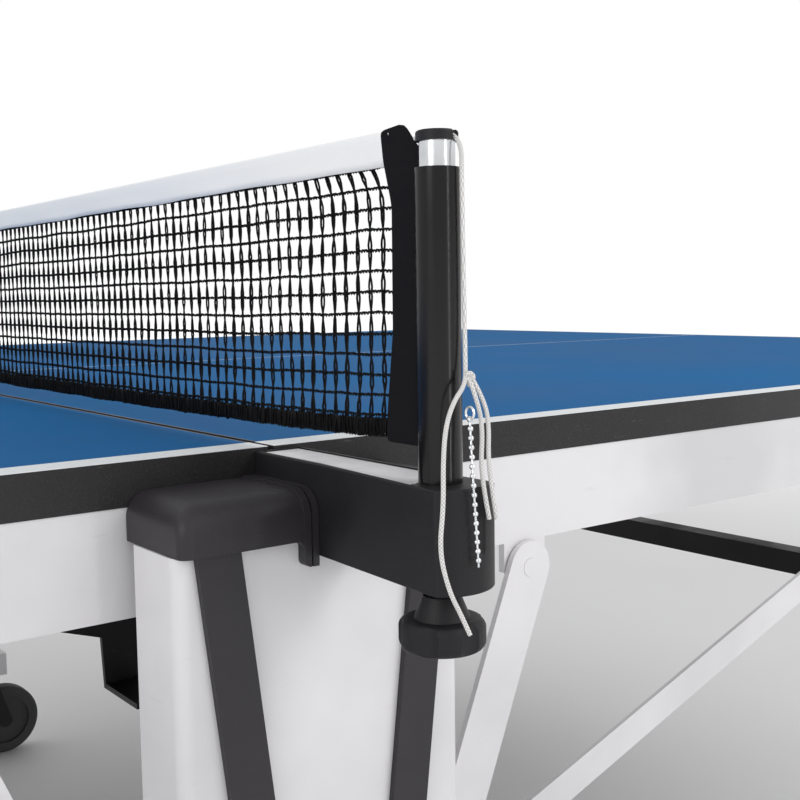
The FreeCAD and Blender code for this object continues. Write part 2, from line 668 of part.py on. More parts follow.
def castor_wheel(x, side):
    """One castor's wheel: tyre and hub as one turning piece."""
    y = side * CASTOR_Y
    wheel_x = x + math.copysign(CASTOR_TRAIL, x)
    half = WHEEL_WIDTH / 2
    depth = WHEEL_RECESS_DEPTH
    tyre = across(wheel_x, WHEEL_RADIUS, WHEEL_RADIUS, y - half, y + half)
    rims = [e for e in tyre.Edges if isinstance(e.Curve, Part.Circle)]
    tyre = tyre.makeFillet(WHEEL_EDGE_RADIUS, rims)
    for s in (-1, 1):
        face = y + s * half
        ring = across(wheel_x, WHEEL_RADIUS, WHEEL_RECESS_RADIUS, face - depth, face + depth)
        boss = across(wheel_x, WHEEL_RADIUS, WHEEL_BOSS_RADIUS, face - depth - 1, face + depth + 1)
        tyre = tyre.cut(ring.cut(boss))
    return tyre.cut(across(wheel_x, WHEEL_RADIUS, PIN_RADIUS + RUNNING_GAP, y - half - 1, y + half + 1))


# ---------------------------------------------------------------- net set

def post_core():
    """Near post's bright inner bar, which carries the net."""
    bottom = SOCKET_BOTTOM + 1.0
    return rod((0, -POST_Y, bottom), Z_AXIS, CORE_RADIUS, CORE_TOP - bottom)


def post_cap():
    """Near post's cap, with the slot that the cord runs through."""
    cap = rod((0, -POST_Y, CORE_TOP), Z_AXIS, CAP_RADIUS, CAP_THICKNESS)
    top = [e for e in cap.Edges if abs(e.CenterOfMass.z - CORE_TOP - CAP_THICKNESS) < 0.01]
    cap = cap.makeFillet(CAP_ROUND, top)
    floor = CORE_TOP + CAP_SLOT_FLOOR
    inlet = block((-CAP_SLOT_HALF, -POST_Y, floor), (CAP_SLOT_HALF, -POST_Y + 20, CORE_TOP + 9))
    outlet = block((-CAP_SLOT_HALF, 0, floor), (CAP_SLOT_HALF, 20, CORE_TOP + 9))
    outlet = outlet.fuse(block((-CAP_SLOT_HALF, CAP_SLOT_DROP, CORE_TOP - 1), (CAP_SLOT_HALF, 20, floor + 1)))
    outlet.rotate(V(0, 0, 0), Z_AXIS, 180 + SLOT_TURN)
    outlet.translate(V(0, -POST_Y, 0))
    middle = rod((0, -POST_Y, floor), Z_AXIS, CAP_SLOT_HALF, 9)
    return cap.cut(inlet).cut(outlet).cut(middle)


def net_mesh():
    """The net's field, a thin sheet between the tape and the sleeves."""
    half = NET_THICKNESS / 2
    return block((-half, -NET_END, NET_BOTTOM), (half, NET_END, TABLE_HEIGHT + NET_HEIGHT - TAPE_HEIGHT))


def net_tape():
    """The white tape along the top of the net."""
    top = TABLE_HEIGHT + NET_HEIGHT
    half = TAPE_THICKNESS / 2
    return block((-half, -NET_END, top - TAPE_HEIGHT), (half, NET_END, top))


def net_sleeve():
    """The woven sleeve at the near end of the net."""
    half = SLEEVE_THICKNESS / 2
    return block((-half, -SLEEVE_END, NET_BOTTOM - SLEEVE_DROP), (half, -NET_END, TABLE_HEIGHT + NET_HEIGHT))


CORD_ROUTE = [
    (0.0, -890.1, 907.0),
    (0.1, -898.0, 907.1),
    (0.6, -904.6, 907.2),
    (2.9, -912.2, 906.9),
    (4.2, -916.2, 901.0),
    (4.2, -916.0, 889.0),
    (5.9, -915.4, 810.0),
    (0.4, -921.6, 801.5),
    (-9.6, -925.8, 795.5),
    (-17.0, -929.2, 786.0),
    (-20.4, -931.4, 772.0),
    (-21.4, -932.6, 754.0),
    (-24.6, -933.4, 736.0),
    (-20.4, -934.2, 719.0),
    (-14.6, -935.0, 708.0),
    (-10.4, -935.6, 699.0),
]

LOOP_ROUTE = [
    (2.0, -923.0, 801.0),
    (5.2, -924.4, 793.0),
    (6.0, -926.0, 782.0),
    (3.6, -927.4, 768.0),
    (4.2, -929.0, 755.0),
    (6.2, -929.6, 744.5),
]

SHORT_LOOP_ROUTE = [
    (6.0, -921.8, 802.0),
    (9.2, -923.8, 794.0),
    (9.6, -926.0, 784.0),
    (7.4, -927.8, 770.0),
    (8.2, -929.2, 757.0),
    (10.2, -929.6, 744.0),
]


def bead_chain():
    """Ring and hanging row of beads in front of the near post; it bends over the top of the net arm."""
    pieces = []
    carried = 0.0
    for start, end in ((V(*CHAIN_TOP), V(*CHAIN_BEND)), (V(*CHAIN_BEND), V(*CHAIN_END))):
        span = end - start
        pieces.append(Part.makeCylinder(CHAIN_WIRE_RADIUS, span.Length, start, span))
        while carried <= span.Length:
            place = start + span * (carried / span.Length)
            pieces.append(Part.makeSphere(BEAD_RADIUS, place))
            carried += BEAD_PITCH
        carried -= span.Length
    ring_middle = V(*CHAIN_TOP) + V(0, 0, RING_RADIUS)
    pieces.append(Part.makeTorus(RING_RADIUS, RING_WIRE_RADIUS, ring_middle, X_AXIS))
    return join(pieces)


def main():
    os.makedirs("parts", exist_ok=True)

    for name, make in (("board", board), ("edge_band", edge_band), ("end_rail", end_rail),
                       ("lock_bar", lock_bar)):
        piece = make()
        save(name + "_a", piece)
        save(name + "_b", half_b(piece))
    for name, make in (("cross_rails", cross_rails), ("fold_arms", fold_arms), ("guide_links", guide_links)):
        pieces = make()
        save(name + "_a", pieces)
        save(name + "_b", [half_b(p) for p in pieces])
    save("leg_bar_a", leg_bar())
    save("leg_bar_b", half_b(leg_bar()))
    for name, make in (("side_rail", side_rail), ("leg", leg), ("levelling_foot", levelling_foot)):
        piece = make()
        save(name + "_a_near", piece)
        save(name + "_a_far", far_side(piece))
        save(name + "_b_near", half_b(piece))
        save(name + "_b_far", far_side(half_b(piece)))

    for name, make in (("column", column), ("net_arm", net_arm), ("post_tube", post_tube),
                       ("clamp_knob", clamp_knob)):
        piece = make()
        save(name + "_near", piece)
        save(name + "_far", far_side(piece))
    caps = column_cap()
    save("column_cap_near", caps)
    save("column_cap_far", [far_side(c) for c in caps])
    bars = stay_bars()
    save("stay_bars", bars + [far_side(b) for b in bars])
    save("arm_inlays", [arm_inlay(), far_side(arm_inlay())])
    save("base_rails", [base_rail(), far_side(base_rail())])
    save("base_beams", base_beams())
    save("pivot_pins", pivot_pins())
    for x, half in ((CASTOR_X, "a"), (-CASTOR_X, "b")):
        for side, side_name in ((-1, "near"), (1, "far")):
            save("castor_fork_" + half + "_" + side_name, castor_fork(x, side))
            save("castor_wheel_" + half + "_" + side_name, castor_wheel(x, side))

    save("post_cores", [post_core(), far_side(post_core())])
    save("post_caps", [post_cap(), far_side(post_cap())])
    save("net_mesh", net_mesh())
    save("net_tape", net_tape())
    save("net_sleeves", [net_sleeve(), far_side(net_sleeve())])
    save("tension_cord", tube_path(CORD_ROUTE, CORD_RADIUS))
    save("cord_loop_long", tube_path(LOOP_ROUTE, CORD_RADIUS))
    save("cord_loop_short", tube_path(SHORT_LOOP_ROUTE, CORD_RADIUS))
    save("bead_chain", bead_chain())


main()
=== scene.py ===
import json
import math
import random
import bmesh
import bpy
from mathutils import Matrix, Vector


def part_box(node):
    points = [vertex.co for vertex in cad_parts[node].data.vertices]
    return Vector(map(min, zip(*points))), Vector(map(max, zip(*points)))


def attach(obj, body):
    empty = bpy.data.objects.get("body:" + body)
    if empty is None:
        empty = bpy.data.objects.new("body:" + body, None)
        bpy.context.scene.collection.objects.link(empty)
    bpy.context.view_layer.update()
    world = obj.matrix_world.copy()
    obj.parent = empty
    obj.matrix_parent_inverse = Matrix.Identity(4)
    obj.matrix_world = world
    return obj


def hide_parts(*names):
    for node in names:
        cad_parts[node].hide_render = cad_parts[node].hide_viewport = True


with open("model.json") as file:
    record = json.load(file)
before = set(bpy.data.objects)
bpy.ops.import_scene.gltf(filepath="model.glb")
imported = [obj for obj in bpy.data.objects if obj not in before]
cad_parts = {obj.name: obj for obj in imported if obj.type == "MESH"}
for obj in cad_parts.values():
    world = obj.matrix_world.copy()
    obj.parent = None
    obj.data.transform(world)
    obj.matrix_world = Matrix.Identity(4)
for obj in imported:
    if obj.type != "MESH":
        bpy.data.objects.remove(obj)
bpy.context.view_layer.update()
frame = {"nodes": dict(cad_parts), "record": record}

# ------------------------------------------------------------------ sizes, metres
TABLE_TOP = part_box("board_a")[1].z
TABLE_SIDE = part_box("edge_band_a")[1].y
TABLE_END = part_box("edge_band_a")[1].x
LINE_WIDTH = 0.020
CENTRE_LINE = 0.003
NET_LOW, NET_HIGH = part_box("net_mesh")
TAPE_LOW, TAPE_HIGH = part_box("net_tape")
SLEEVE_LOW, SLEEVE_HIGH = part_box("net_sleeves")
STRING_RADIUS = 0.00066
CORD_RADIUS = 0.0010

scene = bpy.context.scene
scene.view_settings.view_transform = "Standard"


def link_object(obj):
    """Puts an object in the scene."""
    scene.collection.objects.link(obj)
    return obj


def mesh_object(name, mesh, material, smooth=True):
    """A mesh as an object in the scene, with one material."""
    obj = link_object(bpy.data.objects.new(name, mesh))
    obj.data.materials.clear()
    obj.data.materials.append(material)
    for face in obj.data.polygons:
        face.use_smooth = smooth
    return obj


def from_bmesh(name, bm, material, smooth=True):
    """A hand-built mesh as an object in the scene."""
    bmesh.ops.recalc_face_normals(bm, faces=bm.faces)
    mesh = bpy.data.meshes.new(name)
    bm.to_mesh(mesh)
    bm.free()
    return mesh_object(name, mesh, material, smooth)


# ------------------------------------------------------------------ camera, angles in radians
EYE = Vector((-0.30784, -1.27740, 0.83948))
EYE_YAW = 0.6552
EYE_PITCH = 0.0936
EYE_ROLL = -0.0145
LENS = 50.385
SENSOR = 36.0
NEAREST_SEEN = 0.02


def make_camera():
    """The camera at the eye, turned by yaw, then pitch, then roll."""
    data = bpy.data.cameras.new("camera")
    data.lens = LENS
    data.sensor_width = SENSOR
    data.clip_start = NEAREST_SEEN
    cam = link_object(bpy.data.objects.new("camera", data))
    level_forward = Vector((math.sin(EYE_YAW), math.cos(EYE_YAW), 0.0))
    level_right = Vector((math.cos(EYE_YAW), -math.sin(EYE_YAW), 0.0))
    forward = level_forward * math.cos(EYE_PITCH) - Vector((0, 0, math.sin(EYE_PITCH)))
    level_up = level_forward * math.sin(EYE_PITCH) + Vector((0, 0, math.cos(EYE_PITCH)))
    right = level_right * math.cos(EYE_ROLL) + level_up * math.sin(EYE_ROLL)
    up = level_up * math.cos(EYE_ROLL) - level_right * math.sin(EYE_ROLL)
    turn = Matrix((right, up, -forward)).transposed()
    cam.matrix_world = Matrix.Translation(EYE) @ turn.to_4x4()
    scene.camera = cam


# ------------------------------------------------------------------ shader groups
def new_group(name, inputs, outputs):
    """A shader group: inputs and outputs are (name, socket type, default)."""
    tree = bpy.data.node_groups.new(name, "ShaderNodeTree")
    for label, kind, value in inputs:
        socket = tree.interface.new_socket(name=label, in_out="INPUT", socket_type=kind)
        socket.default_value = value
    for label, kind in outputs:
        tree.interface.new_socket(name=label, in_out="OUTPUT", socket_type=kind)
    return tree, tree.nodes.new("NodeGroupInput"), tree.nodes.new("NodeGroupOutput")


class Wires:
    """Short ways to add nodes to one tree and join them."""

    def __init__(self, tree):
        self.tree = tree

    def node(self, kind, settings=None, **inputs):
        """A new node with its settings and inputs."""
        made = self.tree.nodes.new(kind)
        for key, value in (settings or {}).items():
            setattr(made, key, value)
        for key, value in inputs.items():
            self.feed(made.inputs[key.replace("_", " ")], value)
        return made

    def feed(self, socket, value):
        """Joins a socket to another one, or sets its constant."""
        if isinstance(value, bpy.types.NodeSocket):
            self.tree.links.new(value, socket)
        else:
            socket.default_value = value

    def math(self, operation, a, b=0.0):
        """One step of arithmetic."""
        made = self.tree.nodes.new("ShaderNodeMath")
        made.operation = operation
        for socket, value in zip(made.inputs, (a, b)):
            self.feed(socket, value)
        return made.outputs[0]

    def mix(self, factor, a, b):
        """Colour a at factor 0, colour b at factor 1."""
        made = self.tree.nodes.new("ShaderNodeMix")
        made.data_type = "RGBA"
        self.feed(made.inputs[0], factor)
        self.feed(made.inputs[6], a)
        self.feed(made.inputs[7], b)
        return made.outputs[2]

    def span(self, value, low, high, to_low=0.0, to_high=1.0):
        """A value moved from one range to another, and held inside it."""
        made = self.tree.nodes.new("ShaderNodeMapRange")
        for socket, item in zip(made.inputs[:5], (value, low, high, to_low, to_high)):
            self.feed(socket, item)
        return made.outputs[0]

    def noise(self, place, scale, detail, roughness=0.5):
        """A noise texture node read at a place."""
        return self.node("ShaderNodeTexNoise", Vector=place, Scale=scale, Detail=detail, Roughness=roughness)

    def plus(self, a, b):
        """The sum of two places."""
        made = self.node("ShaderNodeVectorMath", {"operation": "ADD"})
        self.feed(made.inputs[0], a)
        self.feed(made.inputs[1], b)
        return made.outputs[0]

    def group(self, tree, **inputs):
        """A group's node with its inputs."""
        shading = self.tree.bl_idname == "ShaderNodeTree"
        made = self.tree.nodes.new("ShaderNodeGroup" if shading else "GeometryNodeGroup")
        made.node_tree = tree
        for key, value in inputs.items():
            self.feed(made.inputs[key.replace("_", " ")], value)
        return made


STREAK_STRETCH = (0.35, 0.35, 2.2)
STREAK_TURN = (0.4, 0.9, 0.3)
STREAKS_PER_SMUDGE = 16.0
STREAK_EDGE = (0.66, 0.74)
CELL_SHARE = 0.6
TWILL_TURN = 6.0


def make_grain_group():
    """Fine moulded or sprayed grain, with slow smudges and rare scuffs over it."""
    tree, ins, outs = new_group(
        "surface_grain",
        [("Vector", "NodeSocketVector", (0, 0, 0)), ("Grain Size", "NodeSocketFloat", 0.001),
         ("Smudge Size", "NodeSocketFloat", 0.15), ("Scuff Amount", "NodeSocketFloat", 0.3)],
        [("Height", "NodeSocketFloat"), ("Smudge", "NodeSocketFloat"), ("Scuff", "NodeSocketFloat")])
    w = Wires(tree)
    fine_scale = w.math("DIVIDE", 1.0, ins.outputs["Grain Size"])
    slow_scale = w.math("DIVIDE", 1.0, ins.outputs["Smudge Size"])
    place = ins.outputs["Vector"]
    fine = w.noise(place, fine_scale, 2.0, 0.6)
    cells = w.node("ShaderNodeTexVoronoi", Vector=place, Scale=fine_scale)
    height = w.math("ADD", fine.outputs[0], w.math("MULTIPLY", cells.outputs["Distance"], CELL_SHARE))
    slow = w.noise(place, slow_scale, 4.0, 0.55)
    streak_place = w.node("ShaderNodeMapping", Vector=place)
    streak_place.inputs["Scale"].default_value = STREAK_STRETCH
    streak_place.inputs["Rotation"].default_value = STREAK_TURN
    streak_scale = w.math("MULTIPLY", slow_scale, STREAKS_PER_SMUDGE)
    streak = w.noise(streak_place.outputs[0], streak_scale, 3.0, 0.7)
    scuff = w.span(streak.outputs[0], *STREAK_EDGE)
    scuff = w.math("MULTIPLY", scuff, ins.outputs["Scuff Amount"])
    tree.links.new(height, outs.inputs["Height"])
    tree.links.new(slow.outputs[0], outs.inputs["Smudge"])
    tree.links.new(scuff, outs.inputs["Scuff"])
    return tree


def make_weave_group():
    """Over-and-under threads on a UV map that is measured in threads."""
    tree, ins, outs = new_group(
        "thread_weave",
        [("Vector", "NodeSocketVector", (0, 0, 0)), ("Twill", "NodeSocketFloat", 0.0)],
        [("Height", "NodeSocketFloat"), ("Gap", "NodeSocketFloat")])
    w = Wires(tree)
    parts = w.node("ShaderNodeSeparateXYZ", Vector=ins.outputs["Vector"])
    u, v = parts.outputs[0], parts.outputs[1]
    zig = w.math("MULTIPLY", w.math("PINGPONG", v, TWILL_TURN), ins.outputs["Twill"])
    slanted = w.math("ADD", u, zig)
    across = w.math("ABSOLUTE", w.math("SINE", w.math("MULTIPLY", slanted, math.pi)))
    along = w.math("ABSOLUTE", w.math("SINE", w.math("MULTIPLY", v, math.pi)))
    threads = w.node("ShaderNodeCombineXYZ", X=u, Y=v).outputs[0]
    checker = w.node("ShaderNodeTexChecker", Vector=threads, Scale=1.0)
    pick = w.math("MULTIPLY", checker.outputs["Fac"], w.math("SUBTRACT", 1.0, ins.outputs["Twill"]))
    height = w.node("ShaderNodeMix", {"data_type": "FLOAT"})
    w.feed(height.inputs[0], pick)
    w.feed(height.inputs[2], across)
    w.feed(height.inputs[3], along)
    along = w.math("MAXIMUM", along, ins.outputs["Twill"])
    # gap is high on thread crowns and low at thread edges; woven() uses it for painted shade between
    # threads.
    gap = w.math("MULTIPLY", across, along)
    tree.links.new(height.outputs[0], outs.inputs["Height"])
    tree.links.new(gap, outs.inputs["Gap"])
    return tree


GRAIN = make_grain_group()
WEAVE = make_weave_group()


# ------------------------------------------------------------------ materials
def start_material(name, roughness=0.5, metallic=0.0, coat=0.0, sheen=0.0, specular=0.5):
    """A material with its own shader; returns the material, its wires and the shader."""
    mat = bpy.data.materials.new(name)
    mat.use_nodes = True
    shader = mat.node_tree.nodes["Principled BSDF"]
    shader.inputs["Roughness"].default_value = roughness
    shader.inputs["Metallic"].default_value = metallic
    shader.inputs["Coat Weight"].default_value = coat
    shader.inputs["Coat Roughness"].default_value = 0.2
    shader.inputs["Sheen Weight"].default_value = sheen
    shader.inputs["Specular IOR Level"].default_value = specular
    return mat, Wires(mat.node_tree), shader


def opaque(colour):
    """A colour with full alpha."""
    return tuple(colour) + (1.0,)


def object_place(w):
    """The place on the object itself, in metres."""
    return w.node("ShaderNodeTexCoord").outputs["Object"]


def bump(w, shader, height, strength, distance):
    """Turns a height value into fine relief."""
    made = w.node("ShaderNodeBump", Height=height)
    made.inputs["Strength"].default_value = strength
    made.inputs["Distance"].default_value = distance
    w.feed(shader.inputs["Normal"], made.outputs["Normal"])


DARKER = 0.86
LIGHTER = 1.08
RELIEF = 0.0004
FINE_RELIEF = 0.0002
DRAWN_LINES = 900.0


def coated(name, colour, worn, roughness, grain, depth, scuff=0.3, smudge=0.15, spread=0.12, **kind):
    """Paint or moulded plastic: grain in the height, smudges in the gloss and colour, a few scuffs."""
    mat, w, shader = start_material(name, roughness, **kind)
    place = object_place(w)
    g = w.group(GRAIN, Vector=place, Grain_Size=grain, Smudge_Size=smudge, Scuff_Amount=scuff)
    smudge_value = g.outputs["Smudge"]
    dark = opaque(c * DARKER for c in colour)
    light = opaque(min(1.0, c * LIGHTER) for c in colour)
    tone = w.mix(w.span(smudge_value, 0.35, 0.65), dark, light)
    tone = w.mix(g.outputs["Scuff"], tone, opaque(worn))
    w.feed(shader.inputs["Base Color"], tone)
    rough = w.span(smudge_value, 0.3, 0.7, roughness - spread, roughness + spread)
    rough = w.math("ADD", rough, w.math("MULTIPLY", g.outputs["Scuff"], 0.2))
    w.feed(shader.inputs["Roughness"], rough)
    bump(w, shader, g.outputs["Height"], depth, RELIEF)
    return mat


def metal(name, colour, roughness, stretch):
    """Plated steel: fine drawn lines in the gloss and a slow cloud in the colour."""
    mat, w, shader = start_material(name, roughness, metallic=1.0)
    place = object_place(w)
    lines = w.node("ShaderNodeMapping", Vector=place)
    lines.inputs["Scale"].default_value = stretch
    drawn = w.noise(lines.outputs[0], DRAWN_LINES, 3.0)
    cloud = w.noise(place, 60.0, 3.0)
    dark = opaque(c * 0.8 for c in colour)
    w.feed(shader.inputs["Base Color"], w.mix(w.span(cloud.outputs[0], 0.35, 0.7), dark, opaque(colour)))
    w.feed(shader.inputs["Roughness"], w.span(drawn.outputs[0], 0.3, 0.7, roughness * 0.7, roughness * 1.5))
    bump(w, shader, drawn.outputs[0], 0.08, FINE_RELIEF)
    return mat


SURFACE_DEPTH = 0.0004
BLUES = ((0.0125, 0.118, 0.315, 1), (0.0165, 0.142, 0.362, 1))
SPECK_BLUE = (0.045, 0.21, 0.45, 1)
LINE_WHITES = ((0.74, 0.77, 0.79, 1), (0.83, 0.85, 0.86, 1))
SCUFF_BLUE = (0.10, 0.17, 0.25, 1)
BOARD_BROWNS = ((0.030, 0.028, 0.027, 1), (0.055, 0.052, 0.050, 1))
BAND_BLACKS = ((0.020, 0.019, 0.020, 1), (0.070, 0.068, 0.072, 1))
BAND_SCUFF = (0.16, 0.16, 0.16, 1)
BAND_WHITE = (0.80, 0.82, 0.84, 1)
BAND_LINE_DEPTH = 0.0003


def playing_surface():
    """Matt blue paint with the white lines set out from the table's own sizes."""
    mat, w, shader = start_material("blue_surface", 0.6, specular=0.02)
    place = object_place(w)
    parts = w.node("ShaderNodeSeparateXYZ", Vector=place)
    x = w.math("ABSOLUTE", parts.outputs[0])
    y = w.math("ABSOLUTE", parts.outputs[1])
    z = parts.outputs[2]
    side = w.math("GREATER_THAN", y, TABLE_SIDE - LINE_WIDTH)
    end = w.math("GREATER_THAN", x, TABLE_END - LINE_WIDTH)
    centre = w.math("LESS_THAN", y, CENTRE_LINE / 2)
    line = w.math("MAXIMUM", w.math("MAXIMUM", side, end), centre)
    top = w.math("GREATER_THAN", z, TABLE_TOP - SURFACE_DEPTH)
    g = w.group(GRAIN, Vector=place, Grain_Size=0.0012, Smudge_Size=0.35, Scuff_Amount=0.10)
    blue = w.mix(w.span(g.outputs["Smudge"], 0.35, 0.65), *BLUES)
    speck = w.noise(place, 1400.0, 1.0)
    blue = w.mix(w.span(speck.outputs[0], 0.62, 0.8, 0.0, 0.25), blue, SPECK_BLUE)
    white = w.mix(w.span(g.outputs["Smudge"], 0.3, 0.7), *LINE_WHITES)
    painted = w.mix(line, blue, white)
    painted = w.mix(w.math("MULTIPLY", g.outputs["Scuff"], 0.5), painted, SCUFF_BLUE)
    core = w.mix(w.span(speck.outputs[0], 0.3, 0.7), *BOARD_BROWNS)
    w.feed(shader.inputs["Base Color"], w.mix(top, core, painted))
    w.feed(shader.inputs["Roughness"], w.span(g.outputs["Smudge"], 0.3, 0.7, 0.52, 0.68))
    bump(w, shader, g.outputs["Height"], 0.10, 0.0003)
    return mat


def edge_finish():
    """Black grained edge band; its narrow top face carries the white line."""
    mat, w, shader = start_material("edge_band", 0.38, specular=0.3)
    place = object_place(w)
    parts = w.node("ShaderNodeSeparateXYZ", Vector=place)
    y = w.math("ABSOLUTE", parts.outputs[1])
    x = w.math("ABSOLUTE", parts.outputs[0])
    rim = w.math("MAXIMUM", w.math("GREATER_THAN", y, TABLE_SIDE - LINE_WIDTH),
                 w.math("GREATER_THAN", x, TABLE_END - LINE_WIDTH))
    top = w.math("MULTIPLY", rim, w.math("GREATER_THAN", parts.outputs[2], TABLE_TOP - BAND_LINE_DEPTH))
    g = w.group(GRAIN, Vector=place, Grain_Size=0.0009, Smudge_Size=0.12, Scuff_Amount=0.25)
    flakes = w.node("ShaderNodeTexVoronoi", Vector=place, Scale=900.0)
    glint = w.span(flakes.outputs["Distance"], 0.05, 0.35, 1.0, 0.0)
    black = w.mix(w.math("MULTIPLY", glint, 0.5), *BAND_BLACKS)
    black = w.mix(g.outputs["Scuff"], black, BAND_SCUFF)
    w.feed(shader.inputs["Base Color"], w.mix(top, black, BAND_WHITE))
    w.feed(shader.inputs["Roughness"], w.span(g.outputs["Smudge"], 0.3, 0.7, 0.30, 0.52))
    bump(w, shader, w.math("ADD", g.outputs["Height"], glint), 0.30, RELIEF)
    return mat


def woven(name, colour, light, threads, twill, roughness, depth, sheen, specular):
    """Woven cloth on a UV map in metres, with painted shade at the thread edges and a painted highlight on
    the thread crowns; threads is how many there are in a metre.
    """
    mat, w, shader = start_material(name, roughness, sheen=sheen, specular=specular)
    uv = w.node("ShaderNodeTexCoord").outputs["UV"]
    scaled = w.node("ShaderNodeMapping", Vector=uv)
    scaled.inputs["Scale"].default_value = (threads, threads, 1.0)
    g = w.group(WEAVE, Vector=scaled.outputs[0], Twill=twill)
    fuzz = w.noise(object_place(w), 2500.0, 2.0)
    # Painted shade and highlight: thread edges take colour and thread crowns take light; the fuzz then mixes
    # in random lighter fibres.
    tone = w.mix(w.span(g.outputs["Gap"], 0.05, 0.6), opaque(colour), opaque(light))
    tone = w.mix(w.span(fuzz.outputs[0], 0.4, 0.8, 0.0, 0.35), tone, opaque(light))
    w.feed(shader.inputs["Base Color"], tone)
    w.feed(shader.inputs["Roughness"], w.span(fuzz.outputs[0], 0.2, 0.8, roughness - 0.1, roughness + 0.1))
    height = w.math("ADD", g.outputs["Height"], w.math("MULTIPLY", fuzz.outputs[0], 0.3))
    bump(w, shader, height, depth, RELIEF)
    return mat


STRING_LAY = 0.0011


def twisted_string(name, colour, light):
    """Twisted black string with painted shade in the twist's grooves and a painted highlight on its ridges,
    read from object coordinates so that it suits hundreds of strings.
    """
    mat, w, shader = start_material(name, 0.62, specular=0.15)
    place = object_place(w)
    parts = w.node("ShaderNodeSeparateXYZ", Vector=place)
    lay = w.math("ADD", parts.outputs[1], parts.outputs[2])
    twist = w.math("SINE", w.math("MULTIPLY", lay, 2 * math.pi / STRING_LAY))
    fuzz = w.noise(place, 1800.0, 2.0)
    # Painted shade and highlight: the twist's grooves take colour and its ridges lean to light; the fuzz
    # then adds random lighter fibres.
    tone = w.mix(w.span(twist, -1.0, 1.0, 0.0, 0.6), opaque(colour), opaque(light))
    tone = w.mix(w.span(fuzz.outputs[0], 0.5, 0.8, 0.0, 0.5), tone, opaque(light))
    w.feed(shader.inputs["Base Color"], tone)
    w.feed(shader.inputs["Roughness"], w.span(fuzz.outputs[0], 0.2, 0.8, 0.45, 0.8))
    bump(w, shader, w.math("ADD", twist, fuzz.outputs[0]), 0.5, 0.0003)
    return mat


STRANDS_ROUND = 4.0


def braided(name, colour, shade, plaits):
    """White braid: crossing strands round a cord, with painted shade in the grooves between strands, on its
    own UV map; plaits is how many along it.
    """
    mat, w, shader = start_material(name, 0.75, sheen=0.2)
    uv = w.node("ShaderNodeTexCoord").outputs["UV"]
    parts = w.node("ShaderNodeSeparateXYZ", Vector=uv)
    along = w.math("MULTIPLY", parts.outputs[0], float(plaits))
    around = w.math("MULTIPLY", parts.outputs[1], STRANDS_ROUND)
    left_hand = w.math("MULTIPLY", w.math("ADD", along, around), math.pi)
    right_hand = w.math("MULTIPLY", w.math("SUBTRACT", along, around), math.pi)
    left = w.math("ABSOLUTE", w.math("SINE", left_hand))
    right = w.math("ABSOLUTE", w.math("SINE", right_hand))
    height = w.math("MAXIMUM", left, right)
    fuzz = w.noise(object_place(w), 2600.0, 2.0)
    # Painted shade: the grooves where the crossing strands meet take the shade colour.
    tone = w.mix(w.span(w.math("MINIMUM", left, right), 0.0, 0.5), opaque(shade), opaque(colour))
    w.feed(shader.inputs["Base Color"], tone)
    w.feed(shader.inputs["Roughness"], w.span(fuzz.outputs[0], 0.2, 0.8, 0.65, 0.85))
    bump(w, shader, w.math("ADD", height, w.math("MULTIPLY", fuzz.outputs[0], 0.4)), 0.8, 0.0006)
    return mat


SILVER = (0.60, 0.60, 0.60)
MATERIALS = {
    "blue_board": playing_surface(),
    "black_band": edge_finish(),
    "white_steel": coated("white_powder_coat", (0.74, 0.73, 0.745), (0.45, 0.45, 0.45), 0.42, 0.0016, 0.10,
                          scuff=0.12, smudge=0.22, spread=0.08, specular=0.35),
    "black_steel": coated("black_powder_coat", (0.010, 0.0095, 0.011), (0.10, 0.10, 0.10), 0.42, 0.0012,
                          0.16, scuff=0.20, smudge=0.10, specular=0.3),
    "black_plastic": coated("black_moulding", (0.012, 0.011, 0.013), (0.07, 0.07, 0.07), 0.50, 0.0007, 0.28,
                            scuff=0.20, smudge=0.06, spread=0.08, specular=0.3),
    "cap_moulding": coated("cap_moulding", (0.030, 0.027, 0.031), (0.10, 0.10, 0.10), 0.46, 0.0007, 0.28,
                           scuff=0.20, smudge=0.06, spread=0.08, specular=0.35),
    "gloss_tube": coated("black_tube_lacquer", (0.006, 0.0055, 0.0065), (0.05, 0.05, 0.05), 0.20, 0.0016,
                         0.05, scuff=0.20, smudge=0.05, spread=0.05, coat=0.12, specular=0.28),
    "pale_inlay": coated("pale_grip_plate", (0.62, 0.61, 0.63), (0.40, 0.40, 0.40), 0.60, 0.0014, 0.9,
                         scuff=0.15, smudge=0.03),
    "bright_steel": metal("bright_zinc", (0.96, 0.98, 1.0), 0.18, (1.0, 1.0, 0.04)),
    "zinc_steel": metal("plain_zinc", SILVER, 0.35, (1.0, 1.0, 0.2)),
    "wheel_rubber": coated("wheel_rubber", (0.045, 0.045, 0.046), (0.12, 0.12, 0.12), 0.70, 0.0010, 0.5,
                           scuff=0.5, smudge=0.03),
    "foot_rubber": coated("foot_rubber", (0.035, 0.035, 0.035), (0.10, 0.10, 0.10), 0.72, 0.0009, 0.4,
                          scuff=0.4, smudge=0.02),
    # Net string: dark colour for the painted shade in the twist's grooves, lighter colour for the painted
    # ridge highlight and the random fuzz.
    "net_string": twisted_string("net_string", (0.002, 0.002, 0.0024), (0.012, 0.011, 0.013)),
    # Cloth colour pairs: the first is the painted shade at thread edges, the second the painted highlight on
    # thread crowns and the random fuzz.
    "sleeve_cloth": woven("black_sleeve_weave", (0.003, 0.003, 0.0038), (0.013, 0.012, 0.015), 1500.0, 0.0,
                          0.72, 0.4, 0.0, 0.08),
    "tape_cloth": woven("white_tape_weave", (0.88, 0.88, 0.89), (0.98, 0.98, 0.98), 800.0, 1.0,
                        0.70, 0.25, 0.2, 0.3),
}


